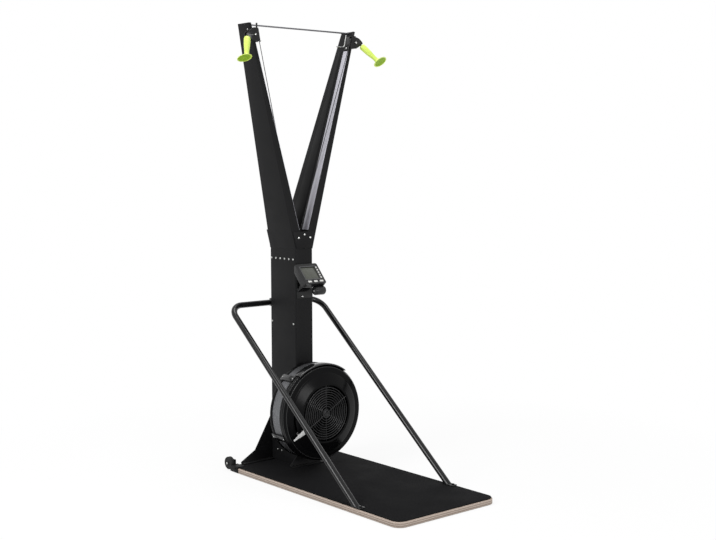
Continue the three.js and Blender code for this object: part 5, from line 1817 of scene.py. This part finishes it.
@dataclass
class Studio:
    """The camera of the photograph, a pale floor, and soft light."""

    place: Point = (-3584.99, -4277.27, 1546.6)
    azimuth_deg: float = -40.0255
    down_deg: float = 5.0969
    roll_deg: float = -0.1509
    lens: float = 59.37
    sensor: float = 36
    clip_end: float = 100
    floor: float = 40.0
    floor_colour: str = "#f2f2f2"
    # How white the floor is seen, close to the machine and far off, and where that changes
    floor_white: Pair = (0.86, 1.0)
    floor_fade: Pair = (0.8, 2.4)
    # The world's strength as light on the machine, and as it is seen
    world_strength: Pair = (0.45, 1.0)
    lamp_aim: Point = (0, 0.1, 1.0)
    # Each lamp's place and size in metres, and its power in watts
    lamps: dict[str, tuple[Point, float, float]] = field(
        default_factory=lambda: {
            "left_softbox": ((-4.2, 0.2, 3.2), 1.9, 125),
            "front_softbox": ((0.5, -4.7, 1.6), 1.6, 75),
            "top_softbox": ((0.2, 0.6, 4.6), 2.2, 80),
        }
    )

    def camera(self) -> None:
        """Sets the camera where the photograph was taken from."""
        data = bpy.data.cameras.new("photo_camera")
        data.lens, data.sensor_width, data.clip_end = self.lens, self.sensor, self.clip_end
        matrix = Matrix.Translation(Vector(self.place) * MM)
        turns = (self.azimuth_deg, Axis.Z), (90 - self.down_deg, Axis.X), (self.roll_deg, Axis.Z)
        for angle, axis in turns:
            matrix = matrix @ Matrix.Rotation(math.radians(angle), 4, axis.name)
        camera = add_object("photo_camera", data)
        camera.matrix_world = matrix
        bpy.context.scene.camera = camera

    def seen_directly(self, tree: Tree) -> Node:
        """1 for rays from the camera, a mirror or clear glass, else 0.

        Args:
            tree: The floor's or world's node tree.

        Returns:
            The node that gives the value.
        """
        camera, glossy, clear = (
            add_node(tree, "ShaderNodeLightPath").outputs[f"Is {kind} Ray"]
            for kind in ("Camera", "Glossy", "Transmission")
        )
        either = add_node(tree, "ShaderNodeMath", {0: camera, 1: glossy}, operation="MAXIMUM")
        return add_node(tree, "ShaderNodeMath", {0: either, 1: clear}, operation="MAXIMUM")

    def ground(self) -> None:
        """A pale floor that keeps the machine's shadow and turns white further off."""
        bm = bmesh.new()
        bmesh.ops.create_grid(bm, x_segments=1, y_segments=1, size=self.floor / 2)
        mesh = bpy.data.meshes.new("studio_floor")
        bm.to_mesh(mesh)
        bm.free()
        add_object("studio_floor", mesh)
        paint = bpy.data.materials.new("pale_floor")
        mesh.materials.append(paint)
        tree = empty_tree(paint)
        colour = to_linear(self.floor_colour)
        diffuse = add_node(tree, "ShaderNodeBsdfDiffuse", {"Color": colour})
        glow = {"Color": (1, 1, 1, 1), "Strength": 1.0}
        white = add_node(tree, "ShaderNodeEmission", glow)
        place = add_node(tree, "ShaderNodeTexCoord").outputs["Object"]
        far = add_node(tree, "ShaderNodeVectorMath", {0: place}, operation="LENGTH")
        (near_white, far_white), (start, end) = self.floor_white, self.floor_fade
        level = add_node(tree, "ShaderNodeMapRange", {
            "Value": far.outputs["Value"], "From Min": start, "From Max": end,
            "To Min": near_white, "To Max": far_white,
        })
        seen = {0: self.seen_directly(tree), 1: level}
        share = add_node(tree, "ShaderNodeMath", seen, operation="MULTIPLY")
        mix = add_node(tree, "ShaderNodeMixShader", {0: share, 1: diffuse, 2: white})
        add_node(tree, "ShaderNodeOutputMaterial", {"Surface": mix})

    def sky(self) -> None:
        """A world that is seen white and gives less light than that."""
        world = bpy.data.worlds.new("studio_world")
        tree = empty_tree(world)
        low, high = self.world_strength
        inputs = {"Value": self.seen_directly(tree), "To Min": low, "To Max": high}
        strength = add_node(tree, "ShaderNodeMapRange", inputs)
        inputs = {"Color": (1, 1, 1, 1), "Strength": strength}
        light = add_node(tree, "ShaderNodeBackground", inputs)
        add_node(tree, "ShaderNodeOutputWorld", {"Surface": light})
        bpy.context.scene.world = world

    def lights(self) -> None:
        """Soft boxes, each aimed at the machine's middle."""
        for name, (place, size, power) in self.lamps.items():
            data = bpy.data.lights.new(name, "AREA")
            data.shape, data.size, data.energy = "SQUARE", size, power
            spot = Vector(place)
            turn = turn_to(spot - Vector(self.lamp_aim))
            add_object(name, data).matrix_world = Matrix.Translation(spot) @ turn

    def build(self) -> None:
        """Sets up the whole studio."""
        self.camera()
        self.ground()
        self.sky()
        self.lights()
        bpy.context.scene.view_settings.view_transform = "Standard"


def main() -> None:
    """Builds the studio and every sub-assembly in order."""
    Studio().build()
    Platform().build()
    Mast().build()
    FanUnit().build()
    CordRun(Side.LEFT, (-0.342, -0.426, -0.836)).build()
    CordRun(Side.RIGHT, (0.435, -0.595, -0.676)).build()
    Stays().build()
    Monitor().build()
    TransportWheels().build()


if __name__ == "__main__":
    main()
